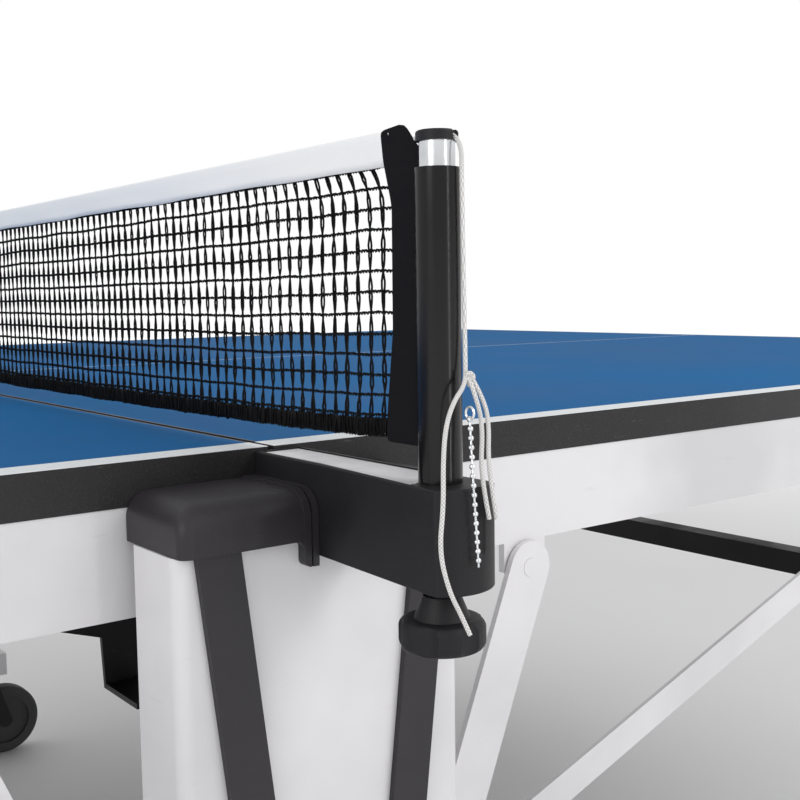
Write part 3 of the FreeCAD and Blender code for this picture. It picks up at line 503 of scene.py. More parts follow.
def dress_frame():
    """Every carried-over solid gets its finished material, by the record's own slots."""
    slots = {item["node"]: item["material_slot"] for item in frame["record"]["subparts"]}
    for node, obj in frame["nodes"].items():
        key = slots[node]
        if node.startswith("post_tube"):
            key = "gloss_tube"
        if node.startswith("column_cap") or node == "stay_bars":
            key = "cap_moulding"
        if key in MATERIALS:
            for i in range(len(obj.material_slots)):
                obj.material_slots[i].material = MATERIALS[key]


# ------------------------------------------------------------------ cords, routes as in the CAD
CORD_ROUTE = [
    (0.0000, -0.8901, 0.9070),
    (0.0001, -0.8980, 0.9071),
    (0.0006, -0.9046, 0.9072),
    (0.0029, -0.9122, 0.9069),
    (0.0042, -0.9162, 0.9010),
    (0.0042, -0.9160, 0.8890),
    (0.0059, -0.9154, 0.8100),
    (0.0004, -0.9216, 0.8015),
    (-0.0096, -0.9258, 0.7955),
    (-0.0170, -0.9292, 0.7860),
    (-0.0204, -0.9314, 0.7720),
    (-0.0214, -0.9326, 0.7540),
    (-0.0246, -0.9334, 0.7360),
    (-0.0204, -0.9342, 0.7190),
    (-0.0146, -0.9350, 0.7080),
    (-0.0104, -0.9356, 0.6990),
]
LOOP_ROUTE = [
    (0.0030, -0.9218, 0.8025),
    (0.0052, -0.9244, 0.7930),
    (0.0060, -0.9260, 0.7820),
    (0.0036, -0.9274, 0.7680),
    (0.0042, -0.9290, 0.7550),
    (0.0062, -0.9296, 0.7445),
]
SHORT_LOOP_ROUTE = [
    (0.0050, -0.9213, 0.8030),
    (0.0092, -0.9238, 0.7940),
    (0.0096, -0.9260, 0.7840),
    (0.0074, -0.9278, 0.7700),
    (0.0082, -0.9292, 0.7570),
    (0.0102, -0.9296, 0.7440),
]
KNOT_MIDDLE = Vector((0.0038, -0.9202, 0.8040))
KNOT_SIZE = (0.00062, 0.00062, 0.00100)
KNOT_DEPTH = 1.4
KNOT_STEPS = 72
KNOT_SIDES = 8
PLAIT = 0.0016
BRAID_WHITE = (0.88, 0.87, 0.86)
# BRAID_SHADE is the painted shade in the grooves between the braid's strands.
BRAID_SHADE = (0.50, 0.49, 0.48)


def route_spline(name, route):
    """The smooth line with a route's points as its control points, and its length."""
    data = bpy.data.curves.new(name, "CURVE")
    data.dimensions = "3D"
    data.resolution_u = 16
    spline = data.splines.new("NURBS")
    spline.points.add(len(route) - 1)
    for point, place in zip(spline.points, route):
        point.co = (*place, 1.0)
    spline.order_u = 3
    spline.use_endpoint_u = True
    return data, spline.calc_length()


def braid_for(name, length):
    """The white braid with as many plaits as fit a cord of this length."""
    return braided(name + "_finish", BRAID_WHITE, BRAID_SHADE, round(length / PLAIT))


def cord_knot():
    """A closed trefoil of cord, for the tight knot that gathers the cord and its two loops."""
    bm = bmesh.new()
    uv = bm.loops.layers.uv.new("UVMap")
    centres = []
    for i in range(KNOT_STEPS):
        t = 2 * math.pi * i / KNOT_STEPS
        lobe_x = math.sin(t) + 2 * math.sin(2 * t)
        lobe_z = math.cos(t) - 2 * math.cos(2 * t)
        lobes = (lobe_x, -KNOT_DEPTH * math.sin(3 * t), lobe_z)
        centres.append(KNOT_MIDDLE + Vector(lobe * size for lobe, size in zip(lobes, KNOT_SIZE)))
    rings = []
    for i, centre in enumerate(centres):
        ahead = (centres[(i + 1) % KNOT_STEPS] - centres[i - 1]).normalized()
        out = (centre - KNOT_MIDDLE - ahead * ahead.dot(centre - KNOT_MIDDLE)).normalized()
        across = ahead.cross(out)
        ring = []
        for j in range(KNOT_SIDES):
            angle = 2 * math.pi * j / KNOT_SIDES
            way = out * math.cos(angle) + across * math.sin(angle)
            ring.append(bm.verts.new(centre + way * CORD_RADIUS))
        rings.append(ring)
    for i in range(KNOT_STEPS):
        for j in range(KNOT_SIDES):
            spots = ((i, j), (i + 1, j), (i + 1, j + 1), (i, j + 1))
            face = bm.faces.new([rings[a % KNOT_STEPS][b % KNOT_SIDES] for a, b in spots])
            for loop, (a, b) in zip(face.loops, spots):
                loop[uv].uv = (a / KNOT_STEPS, b / KNOT_SIDES)
    knot_length = sum((centres[i] - centres[i - 1]).length for i in range(KNOT_STEPS))
    return from_bmesh("cord_knot", bm, braid_for("cord_knot", knot_length))


def make_cords():
    """The tension cord and its two loops as smooth lines, and the knot that gathers them."""
    knot = cord_knot()
    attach(knot, "net_set")
    for name, route, on_it in (("tension_cord", CORD_ROUTE, [knot, frame["nodes"]["bead_chain"]]),
                               ("cord_loop_long", LOOP_ROUTE, []),
                               ("cord_loop_short", SHORT_LOOP_ROUTE, [])):
        data, length = route_spline(name + "_braid", route)
        data.bevel_depth = CORD_RADIUS
        data.bevel_resolution = 4
        data.use_fill_caps = True
        data.materials.append(braid_for(name, length))
        piece = link_object(bpy.data.objects.new(name + "_braid", data))
        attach(piece, "net_set")
        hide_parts(name)


# ------------------------------------------------------------------ net
ROWS = 13
NET_WIDTH = NET_HIGH.y - NET_LOW.y
CELL_HEIGHT = (NET_HIGH.z - NET_LOW.z) / ROWS
LOWER_ROWS = 7
COLUMNS = 174
EDGE_CELLS = 0.4
CELL_WIDTH = NET_WIDTH / (COLUMNS + EDGE_CELLS)
LEAN_REACH = 0.09
LEAN_HEIGHT = 0.024
END_LIFT = 0.0040
NET_SEED = 7
HEM_LOOPS = 1300
HEM_LOW = NET_LOW.z + 0.0003
HEM_HEIGHT = 0.0085
HEM_STRING_RADIUS = 0.00048
HEM_INSET = 0.0008
HEM_CORE_HALF = 0.0006
HEM_CORE_STEPS = 260
HEM_FACE = 0.0012
STRAND_DEPTH = 0.00035
ROW_OFFSET = 900.0
WANDER_SCALE = 22.0
WANDER_SHARES = (1.5, 3.0, 2.6)
LEAN_CURVE = 2.5
LEAN_AT_FOOT = 0.3
TAPE_THICKNESS = 0.0026
TAPE_FLAT = 2 * (TAPE_HIGH.z - TAPE_THICKNESS / 2 - TAPE_LOW.z) + math.pi * TAPE_THICKNESS / 2
TAPE_STEPS = 220
TAPE_CLOTH = 0.0004
SLEEVE_CLOTH = 0.0005
SLEEVE_STEPS = 40
SLEEVE_FOOT = SLEEVE_LOW.z + 0.0045
SLEEVE_HALF = 0.0019
SLEEVE_REACH = 0.8950
SLEEVE_FLAT = 0.050
PINCH = 0.8
PINCH_START = 0.90
PINCH_SPAN = 0.10
PINCH_REACH = 0.35
SLEEVE_INNER_EDGE = ((0.0, 0.8690), (0.07, 0.8692), (0.36, 0.8745), (0.76, 0.8750), (0.90, 0.8692),
                     (1.0, 0.8672))
SLEEVE_TOP_EDGE = ((0.0, 0.9128), (0.54, 0.9148), (0.84, 0.9053), (1.0, 0.9015))
SLEEVE_SIDE = ((0.0, 1.0), (0.18, 1.0), (0.36, 1.0), (0.54, 1.0), (0.70, 1.0), (0.84, 1.0), (0.95, 0.8),
               (1.0, 0.3))
SLEEVE_PATH = SLEEVE_SIDE + tuple((share, -thick) for share, thick in reversed(SLEEVE_SIDE))


def net_inputs(tree, values):
    """Named inputs of a net tree, each with this net's own size."""
    for label, value in values.items():
        kind = "NodeSocketInt" if isinstance(value, int) else "NodeSocketFloat"
        tree.interface.new_socket(name=label, in_out="INPUT", socket_type=kind).default_value = value


def make_drift_group():
    """How far the net has slipped from its even grid: it leans near the posts and wanders a little."""
    tree = bpy.data.node_groups.new("net_drift", "GeometryNodeTree")
    tree.interface.new_socket(name="Place", in_out="INPUT", socket_type="NodeSocketVector")
    net_inputs(tree, {"Half Width": 0.873, "Top": 0.897, "Bottom": 0.771, "Lean": 0.009, "Wander": 0.0011,
                      "Lift": END_LIFT})
    tree.interface.new_socket(name="Offset", in_out="OUTPUT", socket_type="NodeSocketVector")
    ins = tree.nodes.new("NodeGroupInput")
    outs = tree.nodes.new("NodeGroupOutput")
    w = Wires(tree)
    parts = w.node("ShaderNodeSeparateXYZ", Vector=ins.outputs["Place"])
    y, z = parts.outputs[1], parts.outputs[2]
    side = w.math("SIGN", y)
    inward = w.math("SUBTRACT", ins.outputs["Half Width"], w.math("ABSOLUTE", y))
    near_end = w.math("EXPONENT", w.math("DIVIDE", inward, -LEAN_REACH))
    height = w.span(z, w.math("SUBTRACT", ins.outputs["Top"], LEAN_HEIGHT), ins.outputs["Top"])
    lean = w.math("MULTIPLY", w.math("POWER", height, LEAN_CURVE), near_end)
    foot_top = w.math("ADD", ins.outputs["Bottom"], LEAN_HEIGHT)
    foot = w.span(z, ins.outputs["Bottom"], foot_top, LEAN_AT_FOOT, 0.0)
    lean = w.math("ADD", lean, w.math("MULTIPLY", foot, near_end))
    slip = w.math("MULTIPLY", w.math("MULTIPLY", lean, ins.outputs["Lean"]), w.math("MULTIPLY", side, -1.0))
    broad = w.noise(ins.outputs["Place"], WANDER_SCALE, 2.0)
    spread = w.node("ShaderNodeSeparateXYZ", Vector=broad.outputs["Color"])
    inside = w.span(inward, 0.0, 0.006)
    wander = w.math("MULTIPLY", ins.outputs["Wander"], inside)
    edge = w.span(z, w.math("SUBTRACT", ins.outputs["Top"], 0.004), ins.outputs["Top"], 1.0, 0.0)
    shifts = []
    for value, share in zip(spread.outputs, WANDER_SHARES):
        shifts.append(w.math("MULTIPLY", w.math("SUBTRACT", value, 0.5), w.math("MULTIPLY", wander, share)))
    x_shift, y_shift, z_shift = shifts
    z_shift = w.math("MULTIPLY", z_shift, edge)
    low_share = w.span(z, ins.outputs["Bottom"], ins.outputs["Top"], 1.0, 0.0)
    lift = w.math("MULTIPLY", w.math("MULTIPLY", near_end, ins.outputs["Lift"]), low_share)
    z_shift = w.math("ADD", z_shift, lift)
    offset = w.node("ShaderNodeCombineXYZ", X=x_shift, Y=w.math("ADD", y_shift, slip), Z=z_shift)
    tree.links.new(offset.outputs[0], outs.inputs["Offset"])
    return tree


def net_tree(name, values):
    """An empty net tree with its inputs; returns the tree, its wires, its input node and its output node."""
    tree = bpy.data.node_groups.new(name, "GeometryNodeTree")
    tree.interface.new_socket(name="Geometry", in_out="INPUT", socket_type="NodeSocketGeometry")
    net_inputs(tree, values)
    tree.interface.new_socket(name="Material", in_out="INPUT", socket_type="NodeSocketMaterial")
    tree.interface.new_socket(name="Geometry", in_out="OUTPUT", socket_type="NodeSocketGeometry")
    return tree, Wires(tree), tree.nodes.new("NodeGroupInput"), tree.nodes.new("NodeGroupOutput")


def stored(w, geometry, name, value):
    """Keeps a value on each point under a name."""
    settings = {"data_type": "FLOAT", "domain": "POINT"}
    made = w.node("GeometryNodeStoreNamedAttribute", settings, Geometry=geometry, Name=name)
    w.feed(made.inputs["Value"], value)
    return made.outputs[0]


def recalled(w, name):
    """The value that stored() kept."""
    return w.node("GeometryNodeInputNamedAttribute", {"data_type": "FLOAT"}, Name=name).outputs[0]


def points_line(w, count):
    """Loose points, all at the origin until they are moved."""
    return w.node("GeometryNodeMeshLine", Count=count, Offset=(0.0, 0.0, 0.0)).outputs[0]


def moved(w, geometry, place):
    return w.node("GeometryNodeSetPosition", Geometry=geometry, Position=place).outputs[0]


def finished(w, outs, curve, radius, sides, material):
    """Gives curves their thickness, then closes the tree."""
    round_line = w.node("GeometryNodeCurvePrimitiveCircle", Resolution=sides, Radius=radius)
    tube = w.node("GeometryNodeCurveToMesh", Curve=curve, Profile_Curve=round_line.outputs[0]).outputs[0]
    closing(w, outs, tube, material)


def closing(w, outs, mesh, material):
    """Realizes what a tree has made, sets its material and puts it out."""
    whole = w.node("GeometryNodeRealizeInstances", Geometry=mesh).outputs[0]
    dressed = w.node("GeometryNodeSetMaterial", Geometry=whole, Material=material).outputs[0]
    w.tree.links.new(dressed, outs.inputs["Geometry"])


def uprights_tree():
    """Two strands for each upright, close together at every knot and bowing apart between them."""
    tree, w, ins, outs = net_tree("net_uprights", {
        "Columns": COLUMNS, "Rows": ROWS, "Cell Width": CELL_WIDTH, "Cell Height": CELL_HEIGHT,
        "Bottom": NET_LOW.z, "Splay": 0.0008, "Rest Gap": 0.00034, "String Radius": STRING_RADIUS})
    get = ins.outputs
    index = w.node("GeometryNodeInputIndex").outputs[0]
    line = points_line(w, w.math("MULTIPLY", get["Columns"], 2.0))
    column = w.math("FLOOR", w.math("DIVIDE", index, 2.0))
    strand = w.math("SUBTRACT", w.math("MULTIPLY", w.math("MODULO", index, 2.0), 2.0), 1.0)
    middle = w.math("DIVIDE", w.math("SUBTRACT", get["Columns"], 1.0), 2.0)
    y = w.math("MULTIPLY", w.math("SUBTRACT", column, middle), get["Cell Width"])
    line = stored(w, line, "upright_y", y)
    line = stored(w, line, "strand", strand)
    height = w.math("MULTIPLY", get["Rows"], get["Cell Height"])
    low = w.node("ShaderNodeCombineXYZ", Z=get["Bottom"]).outputs[0]
    high = w.node("ShaderNodeCombineXYZ", Z=w.math("ADD", get["Bottom"], height)).outputs[0]
    rise = w.node("GeometryNodeCurvePrimitiveLine", Start=low, End=high).outputs[0]
    steps = w.math("ADD", w.math("MULTIPLY", get["Rows"], 4.0), 1.0)
    rise = w.node("GeometryNodeResampleCurve", Curve=rise, Count=steps).outputs[0]
    strings = w.node("GeometryNodeInstanceOnPoints", Points=line, Instance=rise).outputs[0]
    strings = w.node("GeometryNodeRealizeInstances", Geometry=strings).outputs[0]
    here = w.node("ShaderNodeSeparateXYZ", Vector=w.node("GeometryNodeInputPosition").outputs[0])
    z = here.outputs[2]
    y = recalled(w, "upright_y")
    strand = recalled(w, "strand")
    place = w.node("ShaderNodeCombineXYZ", Y=y, Z=z).outputs[0]
    cells_up = w.math("DIVIDE", w.math("SUBTRACT", z, get["Bottom"]), get["Cell Height"])
    phase = w.math("MULTIPLY", cells_up, math.pi)
    bow = w.math("ABSOLUTE", w.math("SINE", phase))
    cell_noise = w.noise(place, 160.0, 1.0).outputs[0]
    bow = w.math("MULTIPLY", bow, w.span(cell_noise, 0.35, 0.65, 0.15, 1.0))
    side = w.math("MULTIPLY", w.math("MULTIPLY", strand, get["Splay"]), bow)
    side = w.math("ADD", side, w.math("MULTIPLY", strand, get["Rest Gap"]))
    depth = w.math("MULTIPLY", w.math("MULTIPLY", strand, STRAND_DEPTH), w.math("COSINE", phase))
    drift = w.group(DRIFT, Place=place).outputs[0]
    apart = w.node("ShaderNodeCombineXYZ", X=depth, Y=side).outputs[0]
    strings = moved(w, strings, w.plus(w.plus(place, drift), apart))
    finished(w, outs, strings, get["String Radius"], 4, get["Material"])
    return tree


def rows_tree():
    """The level strings of the net, each twisted so that its edge is wavy."""
    tree, w, ins, outs = net_tree("net_rows", {
        "First Row": 0, "Rows": ROWS, "Cell Height": CELL_HEIGHT, "Bottom": NET_LOW.z, "Width": NET_WIDTH,
        "Step": 0.00052, "Twist Length": 0.0023, "Twist Depth": 0.00046, "String Radius": STRING_RADIUS})
    get = ins.outputs
    index = w.node("GeometryNodeInputIndex").outputs[0]
    line = points_line(w, get["Rows"])
    row = w.math("ADD", index, get["First Row"])
    z = w.math("ADD", get["Bottom"], w.math("MULTIPLY", row, get["Cell Height"]))
    line = stored(w, line, "row_z", z)
    half = w.math("DIVIDE", get["Width"], 2.0)
    start = w.node("ShaderNodeCombineXYZ", Y=w.math("MULTIPLY", half, -1.0)).outputs[0]
    end = w.node("ShaderNodeCombineXYZ", Y=half).outputs[0]
    run = w.node("GeometryNodeCurvePrimitiveLine", Start=start, End=end).outputs[0]
    steps = w.math("DIVIDE", get["Width"], get["Step"])
    run = w.node("GeometryNodeResampleCurve", Curve=run, Count=steps).outputs[0]
    strings = w.node("GeometryNodeInstanceOnPoints", Points=line, Instance=run).outputs[0]
    strings = w.node("GeometryNodeRealizeInstances", Geometry=strings).outputs[0]
    here = w.node("ShaderNodeSeparateXYZ", Vector=w.node("GeometryNodeInputPosition").outputs[0])
    y = here.outputs[1]
    z = recalled(w, "row_z")
    place = w.node("ShaderNodeCombineXYZ", Y=y, Z=z).outputs[0]
    turn = w.math("MULTIPLY", w.math("DIVIDE", y, get["Twist Length"]), 2.0 * math.pi)
    turn = w.math("ADD", turn, w.math("MULTIPLY", z, ROW_OFFSET))
    wave_x = w.math("MULTIPLY", w.math("COSINE", turn), get["Twist Depth"])
    wave_z = w.math("MULTIPLY", w.math("SINE", turn), get["Twist Depth"])
    wave = w.node("ShaderNodeCombineXYZ", X=wave_x, Z=wave_z).outputs[0]
    drift = w.group(DRIFT, Place=place).outputs[0]
    strings = moved(w, strings, w.plus(w.plus(place, drift), wave))
    finished(w, outs, strings, get["String Radius"], 3, get["Material"])
    return tree


def knots_tree():
    """A small tight knot where each upright meets each row."""
    tree, w, ins, outs = net_tree("net_knots", {
        "Columns": COLUMNS, "Rows": ROWS + 1, "Cell Width": CELL_WIDTH, "Cell Height": CELL_HEIGHT,
        "Bottom": NET_LOW.z, "Knot Radius": 0.00095})
    get = ins.outputs
    index = w.node("GeometryNodeInputIndex").outputs[0]
    points = points_line(w, w.math("MULTIPLY", get["Columns"], get["Rows"]))
    column = w.math("FLOOR", w.math("DIVIDE", index, get["Rows"]))
    row = w.math("MODULO", index, get["Rows"])
    middle = w.math("DIVIDE", w.math("SUBTRACT", get["Columns"], 1.0), 2.0)
    y = w.math("MULTIPLY", w.math("SUBTRACT", column, middle), get["Cell Width"])
    z = w.math("ADD", get["Bottom"], w.math("MULTIPLY", row, get["Cell Height"]))
    place = w.node("ShaderNodeCombineXYZ", Y=y, Z=z).outputs[0]
    drift = w.group(DRIFT, Place=place).outputs[0]
    points = moved(w, points, w.plus(place, drift))
    ball = w.node("GeometryNodeMeshIcoSphere", Radius=get["Knot Radius"], Subdivisions=1).outputs[0]
    size = w.node("FunctionNodeRandomValue", {"data_type": "FLOAT_VECTOR"}, Seed=NET_SEED)
    size.inputs[0].default_value = (0.8, 0.75, 0.75)
    size.inputs[1].default_value = (1.0, 1.25, 1.35)
    knots = w.node("GeometryNodeInstanceOnPoints", Points=points, Instance=ball, Scale=size.outputs[0])
    closing(w, outs, knots.outputs[0], get["Material"])
    return tree


def hem_tree():
    """The crowded loops along the bottom of the net."""
    tree, w, ins, outs = net_tree("net_hem_loops", {
        "Loops": HEM_LOOPS, "Pitch": NET_WIDTH / HEM_LOOPS, "Bottom": HEM_LOW, "Height": HEM_HEIGHT,
        "Loop Width": 0.0018, "Lift": END_LIFT, "Scallop": 0.0010, "Scallop Width": CELL_WIDTH,
        "String Radius": HEM_STRING_RADIUS})
    get = ins.outputs
    index = w.node("GeometryNodeInputIndex").outputs[0]
    points = points_line(w, get["Loops"])
    middle = w.math("DIVIDE", w.math("SUBTRACT", get["Loops"], 1.0), 2.0)
    y = w.math("MULTIPLY", w.math("SUBTRACT", index, middle), get["Pitch"])
    lift = w.node("FunctionNodeRandomValue", {"data_type": "FLOAT"}, Seed=NET_SEED + 1)
    lift.inputs[2].default_value = -0.0004
    lift.inputs[3].default_value = 0.0006
    z = w.math("ADD", w.math("ADD", get["Bottom"], w.math("DIVIDE", get["Height"], 2.0)), lift.outputs[1])
    swing = w.math("MULTIPLY", w.math("DIVIDE", y, get["Scallop Width"]), math.pi)
    swing = w.math("ABSOLUTE", w.math("SINE", swing))
    z = w.math("SUBTRACT", z, w.math("MULTIPLY", swing, get["Scallop"]))
    inward = w.math("SUBTRACT", NET_WIDTH / 2, w.math("ABSOLUTE", y))
    near_end = w.math("EXPONENT", w.math("DIVIDE", inward, -LEAN_REACH))
    z = w.math("ADD", z, w.math("MULTIPLY", near_end, get["Lift"]))
    face = w.math("MULTIPLY", w.math("SUBTRACT", w.math("MODULO", index, 2.0), 0.5), HEM_FACE)
    points = moved(w, points, w.node("ShaderNodeCombineXYZ", X=face, Y=y, Z=z).outputs[0])
    ring = w.node("GeometryNodeCurvePrimitiveCircle", Resolution=9, Radius=0.5).outputs[0]
    flat = w.node("GeometryNodeTransform", Geometry=ring)
    flat.inputs["Rotation"].default_value = (math.pi / 2, 0.0, math.pi / 2)
    size = w.node("ShaderNodeCombineXYZ", X=get["Loop Width"], Y=get["Height"], Z=1.0).outputs[0]
    w.feed(flat.inputs["Scale"], size)
    spin = w.node("FunctionNodeRandomValue", {"data_type": "FLOAT_VECTOR"}, Seed=NET_SEED + 2)
    spin.inputs[0].default_value = (-0.10, -0.10, -0.8)
    spin.inputs[1].default_value = (0.16, 0.10, 0.8)
    loops = w.node("GeometryNodeInstanceOnPoints", Points=points, Instance=flat.outputs[0],
                   Rotation=spin.outputs[0])
    loops = w.node("GeometryNodeRealizeInstances", Geometry=loops.outputs[0]).outputs[0]
    finished(w, outs, loops, get["String Radius"], 3, get["Material"])
    return tree


def grown(name, tree, material, **values):
    """Runs a tree on an empty mesh and keeps the result as a plain mesh object."""
    seed = link_object(bpy.data.objects.new(name + "_tree", bpy.data.meshes.new(name + "_tree")))
    grow = seed.modifiers.new("tree", "NODES")
    grow.node_group = tree
    sockets = {item.name: item.identifier for item in tree.interface.items_tree if item.in_out == "INPUT"}
    grow[sockets["Material"]] = material
    for label, value in values.items():
        grow[sockets[label.replace("_", " ")]] = value
    seen = seed.evaluated_get(bpy.context.evaluated_depsgraph_get())
    mesh = bpy.data.meshes.new_from_object(seen)
    bpy.data.objects.remove(seed)
    for layer in [item.name for item in mesh.attributes if item.name in ("upright_y", "row_z", "strand")]:
        mesh.attributes.remove(mesh.attributes[layer])
    return mesh_object(name, mesh, material)


def hem_core():
    """A thin uneven strip in the middle of the hem's loops, so that it looks dense."""
    bm = bmesh.new()
    rng = random.Random(NET_SEED)
    rings = []
    for i in range(HEM_CORE_STEPS + 1):
        y = NET_LOW.y + NET_WIDTH * i / HEM_CORE_STEPS
        lift = END_LIFT * math.exp(-(NET_WIDTH / 2 - abs(y)) / LEAN_REACH)
        low = HEM_LOW + lift + HEM_INSET + rng.uniform(-0.0002, 0.0003)
        high = HEM_LOW + lift + HEM_HEIGHT - HEM_INSET + rng.uniform(-0.0003, 0.0003)
        x = HEM_CORE_HALF
        section = ((x, low), (x, high), (-x, high), (-x, low))
        rings.append([bm.verts.new((across, y, z)) for across, z in section])
    for a, b in zip(rings, rings[1:]):
        for j in range(4):
            bm.faces.new((a[j], a[(j + 1) % 4], b[(j + 1) % 4], b[j]))
    bm.faces.new(rings[0])
    bm.faces.new(list(reversed(rings[-1])))
    return from_bmesh("net_hem_core", bm, MATERIALS["net_string"])


def thicken(obj, cloth):
    """Gives a flat cloth its thickness, half to each side."""
    thick = obj.modifiers.new("cloth", "SOLIDIFY")
    thick.thickness = cloth
    thick.offset = 0.0


def folded_tape():
    """White tape folded over the head line: a thin cloth with its own UV map in metres."""
    bm = bmesh.new()
    uv = bm.loops.layers.uv.new("UVMap")
    rng = random.Random(NET_SEED + 5)
    profile = tape_profile()
    length = TAPE_HIGH.y - TAPE_LOW.y
    rows = []
    phases = [rng.uniform(0, 6.28) for _ in range(3)]
    for i in range(TAPE_STEPS + 1):
        t = i / TAPE_STEPS
        y = TAPE_LOW.y + length * t
        ripple = 0.0003 * math.sin(t * 61 + phases[0]) + 0.0002 * math.sin(t * 143 + phases[1])
        row = []
        for x, z, s in profile:
            loose = abs(s - TAPE_FLAT / 2) / (TAPE_FLAT / 2)
            bulge = 0.0003 * math.sin(t * 97 + phases[2] + s * 200) * math.copysign(1.0, x)
            row.append((bm.verts.new((x + bulge * loose, y, z + ripple * loose)), t, s))
        rows.append(row)
    for a, b in zip(rows, rows[1:]):
        for j in range(len(profile) - 1):
            corners = (a[j], b[j], b[j + 1], a[j + 1])
            face = bm.faces.new([c[0] for c in corners])
            for loop, (_, t, s) in zip(face.loops, corners):
                loop[uv].uv = (t * length, s)
    obj = from_bmesh("net_tape_cloth", bm, MATERIALS["tape_cloth"])
    thicken(obj, TAPE_CLOTH)
    return obj


def tape_profile():
    """Section of the folded tape as (x, z, distance along the cloth)."""
    half = TAPE_THICKNESS / 2
    fold = TAPE_HIGH.z - half
    side = fold - TAPE_LOW.z
    points = []
    for i in range(5):
        points.append((half, TAPE_LOW.z + side * i / 4, side * i / 4))
    for i in range(1, 6):
        angle = math.pi * i / 6
        points.append((half * math.cos(angle), fold + half * math.sin(angle), side + half * angle))
    for i in range(5):
        points.append((-half, fold - side * i / 4, side + math.pi * half + side * i / 4))
    return points


def along_line(points, t):
    """Height of a line through (place, height) points at the place t."""
    for (t0, h0), (t1, h1) in zip(points, points[1:]):
        if t <= t1:
            return h0 + (h1 - h0) * max(0.0, t - t0) / (t1 - t0)
    return points[-1][1]


def sleeve(side):
    """Black woven sleeve round the net's end: drawn in at its middle, its top corner turned up."""
    bm = bmesh.new()
    uv = bm.loops.layers.uv.new("UVMap")
    rings = []
    for i in range(SLEEVE_STEPS + 1):
        t = i / SLEEVE_STEPS
        inner = along_line(SLEEVE_INNER_EDGE, t)
        outer = SLEEVE_REACH + 0.0002 * math.sin(t * 23.0)
        tuck = 0.0003 * math.sin(t * 17.0) + 0.0002 * math.sin(t * 41.0)
        up = max(0.0, (t - PINCH_START) / PINCH_SPAN)
        ring = []
        for share, thick in SLEEVE_PATH:
            pinch = 1.0 - PINCH * up * min(1.0, share / PINCH_REACH)
            x = (thick * SLEEVE_HALF + math.copysign(tuck, thick) * math.sin(math.pi * share)) * pinch
            top = along_line(SLEEVE_TOP_EDGE, share)
            z = SLEEVE_FOOT + (top - SLEEVE_FOOT) * t
            ring.append(bm.verts.new((x, side * (inner + (outer - inner) * share), z)))
        rings.append(ring)
    height = SLEEVE_HIGH.z - SLEEVE_LOW.z
    for i in range(SLEEVE_STEPS):
        for j in range(len(SLEEVE_PATH) - 1):
            spots = ((i, j), (i + 1, j), (i + 1, j + 1), (i, j + 1))
            face = bm.faces.new([rings[a][b] for a, b in spots])
            for loop, (a, b) in zip(face.loops, spots):
                loop[uv].uv = (b * SLEEVE_FLAT / (len(SLEEVE_PATH) - 1), a * height / SLEEVE_STEPS)
    name = "net_sleeve_cloth_" + ("far" if side > 0 else "near")
    obj = from_bmesh(name, bm, MATERIALS["sleeve_cloth"])
    thicken(obj, SLEEVE_CLOTH)
    soft = obj.modifiers.new("soften", "SUBSURF")
    soft.levels = 1
    soft.render_levels = 1
    return obj


DRIFT = make_drift_group()


def make_net():
    """The strings, hem, tape and sleeves, all on the body that the net's height moves."""
    strings = [
        grown("net_uprights", uprights_tree(), MATERIALS["net_string"]),
        grown("net_rows_lower", rows_tree(), MATERIALS["net_string"], Rows=LOWER_ROWS),
        grown("net_rows_upper", rows_tree(), MATERIALS["net_string"], First_Row=LOWER_ROWS,
              Rows=ROWS + 1 - LOWER_ROWS),
        grown("net_knots", knots_tree(), MATERIALS["net_string"]),
        grown("net_hem_loops", hem_tree(), MATERIALS["net_string"]),
        hem_core(),
    ]
    for piece in strings:
        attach(piece, "net_set")
    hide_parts("net_mesh")
    tape = folded_tape()
    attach(tape, "net_set")
    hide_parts("net_tape")
    for side in (-1, 1):
        cloth = sleeve(side)
        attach(cloth, "net_set")
        if side < 0:
            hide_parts("net_sleeves")


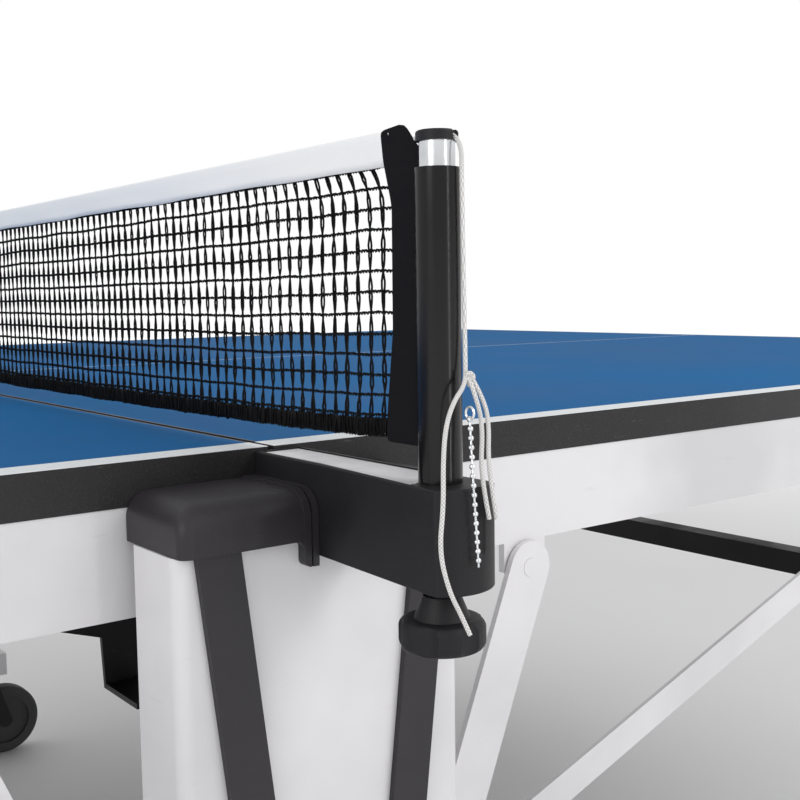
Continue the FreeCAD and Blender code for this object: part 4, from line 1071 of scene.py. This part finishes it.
# ------------------------------------------------------------------ room
FLOOR_GREYS = ((0.80, 0.80, 0.81, 1), (0.84, 0.84, 0.85, 1))
FLOOR_FADE = (3.0, 7.0)
FLOOR_HALF = 30.0
WORLD_LIGHT = 0.7
BLACK = (0, 0, 0, 1)
WHITE = (1, 1, 1, 1)
LAMPS = (("key", (2.2, -3.6, 3.4), (0.1, -0.8, 0.75), 2.0, 2.0, 52.0),
         ("side", (-3.4, -1.6, 2.2), (0.0, -0.8, 0.75), 1.6, 1.6, 34.0),
         ("strip", (0.95, -4.4, 1.0), (0.0, -0.9, 0.85), 0.20, 2.4, 11.0))


def make_room():
    """A pale floor that fades to white far out, a white world and three soft lamps."""
    floor_material, w, shader = start_material("pale_floor", 0.6)
    place = object_place(w)
    g = w.group(GRAIN, Vector=place, Grain_Size=0.004, Smudge_Size=1.2, Scuff_Amount=0.05)
    near = w.mix(w.span(g.outputs["Smudge"], 0.3, 0.7), *FLOOR_GREYS)
    reach = w.node("ShaderNodeVectorMath", {"operation": "LENGTH"})
    w.feed(reach.inputs[0], place)
    away = w.span(reach.outputs["Value"], *FLOOR_FADE)
    w.feed(shader.inputs["Base Color"], w.mix(away, near, BLACK))
    w.feed(shader.inputs["Emission Color"], w.mix(away, BLACK, WHITE))
    shader.inputs["Emission Strength"].default_value = 1.0
    bm = bmesh.new()
    bmesh.ops.create_grid(bm, x_segments=1, y_segments=1, size=FLOOR_HALF)
    floor = from_bmesh("floor", bm, floor_material, smooth=False)
    world = bpy.data.worlds.new("studio")
    scene.world = world
    world.use_nodes = True
    sky = Wires(world.node_tree)
    seen = sky.node("ShaderNodeLightPath").outputs["Is Camera Ray"]
    background = world.node_tree.nodes["Background"]
    background.inputs["Color"].default_value = WHITE
    sky.feed(background.inputs["Strength"], sky.span(seen, 0.0, 1.0, WORLD_LIGHT, 1.0))
    for name, spot, aim, width, height, power in LAMPS:
        data = bpy.data.lights.new(name, "AREA")
        data.shape = "RECTANGLE"
        data.size = width
        data.size_y = height
        data.energy = power
        lamp = link_object(bpy.data.objects.new(name, data))
        lamp.location = spot
        lamp.rotation_mode = "QUATERNION"
        lamp.rotation_quaternion = (Vector(aim) - Vector(spot)).to_track_quat("-Z", "Y")


make_camera()
dress_frame()
make_cords()
make_net()
make_room()
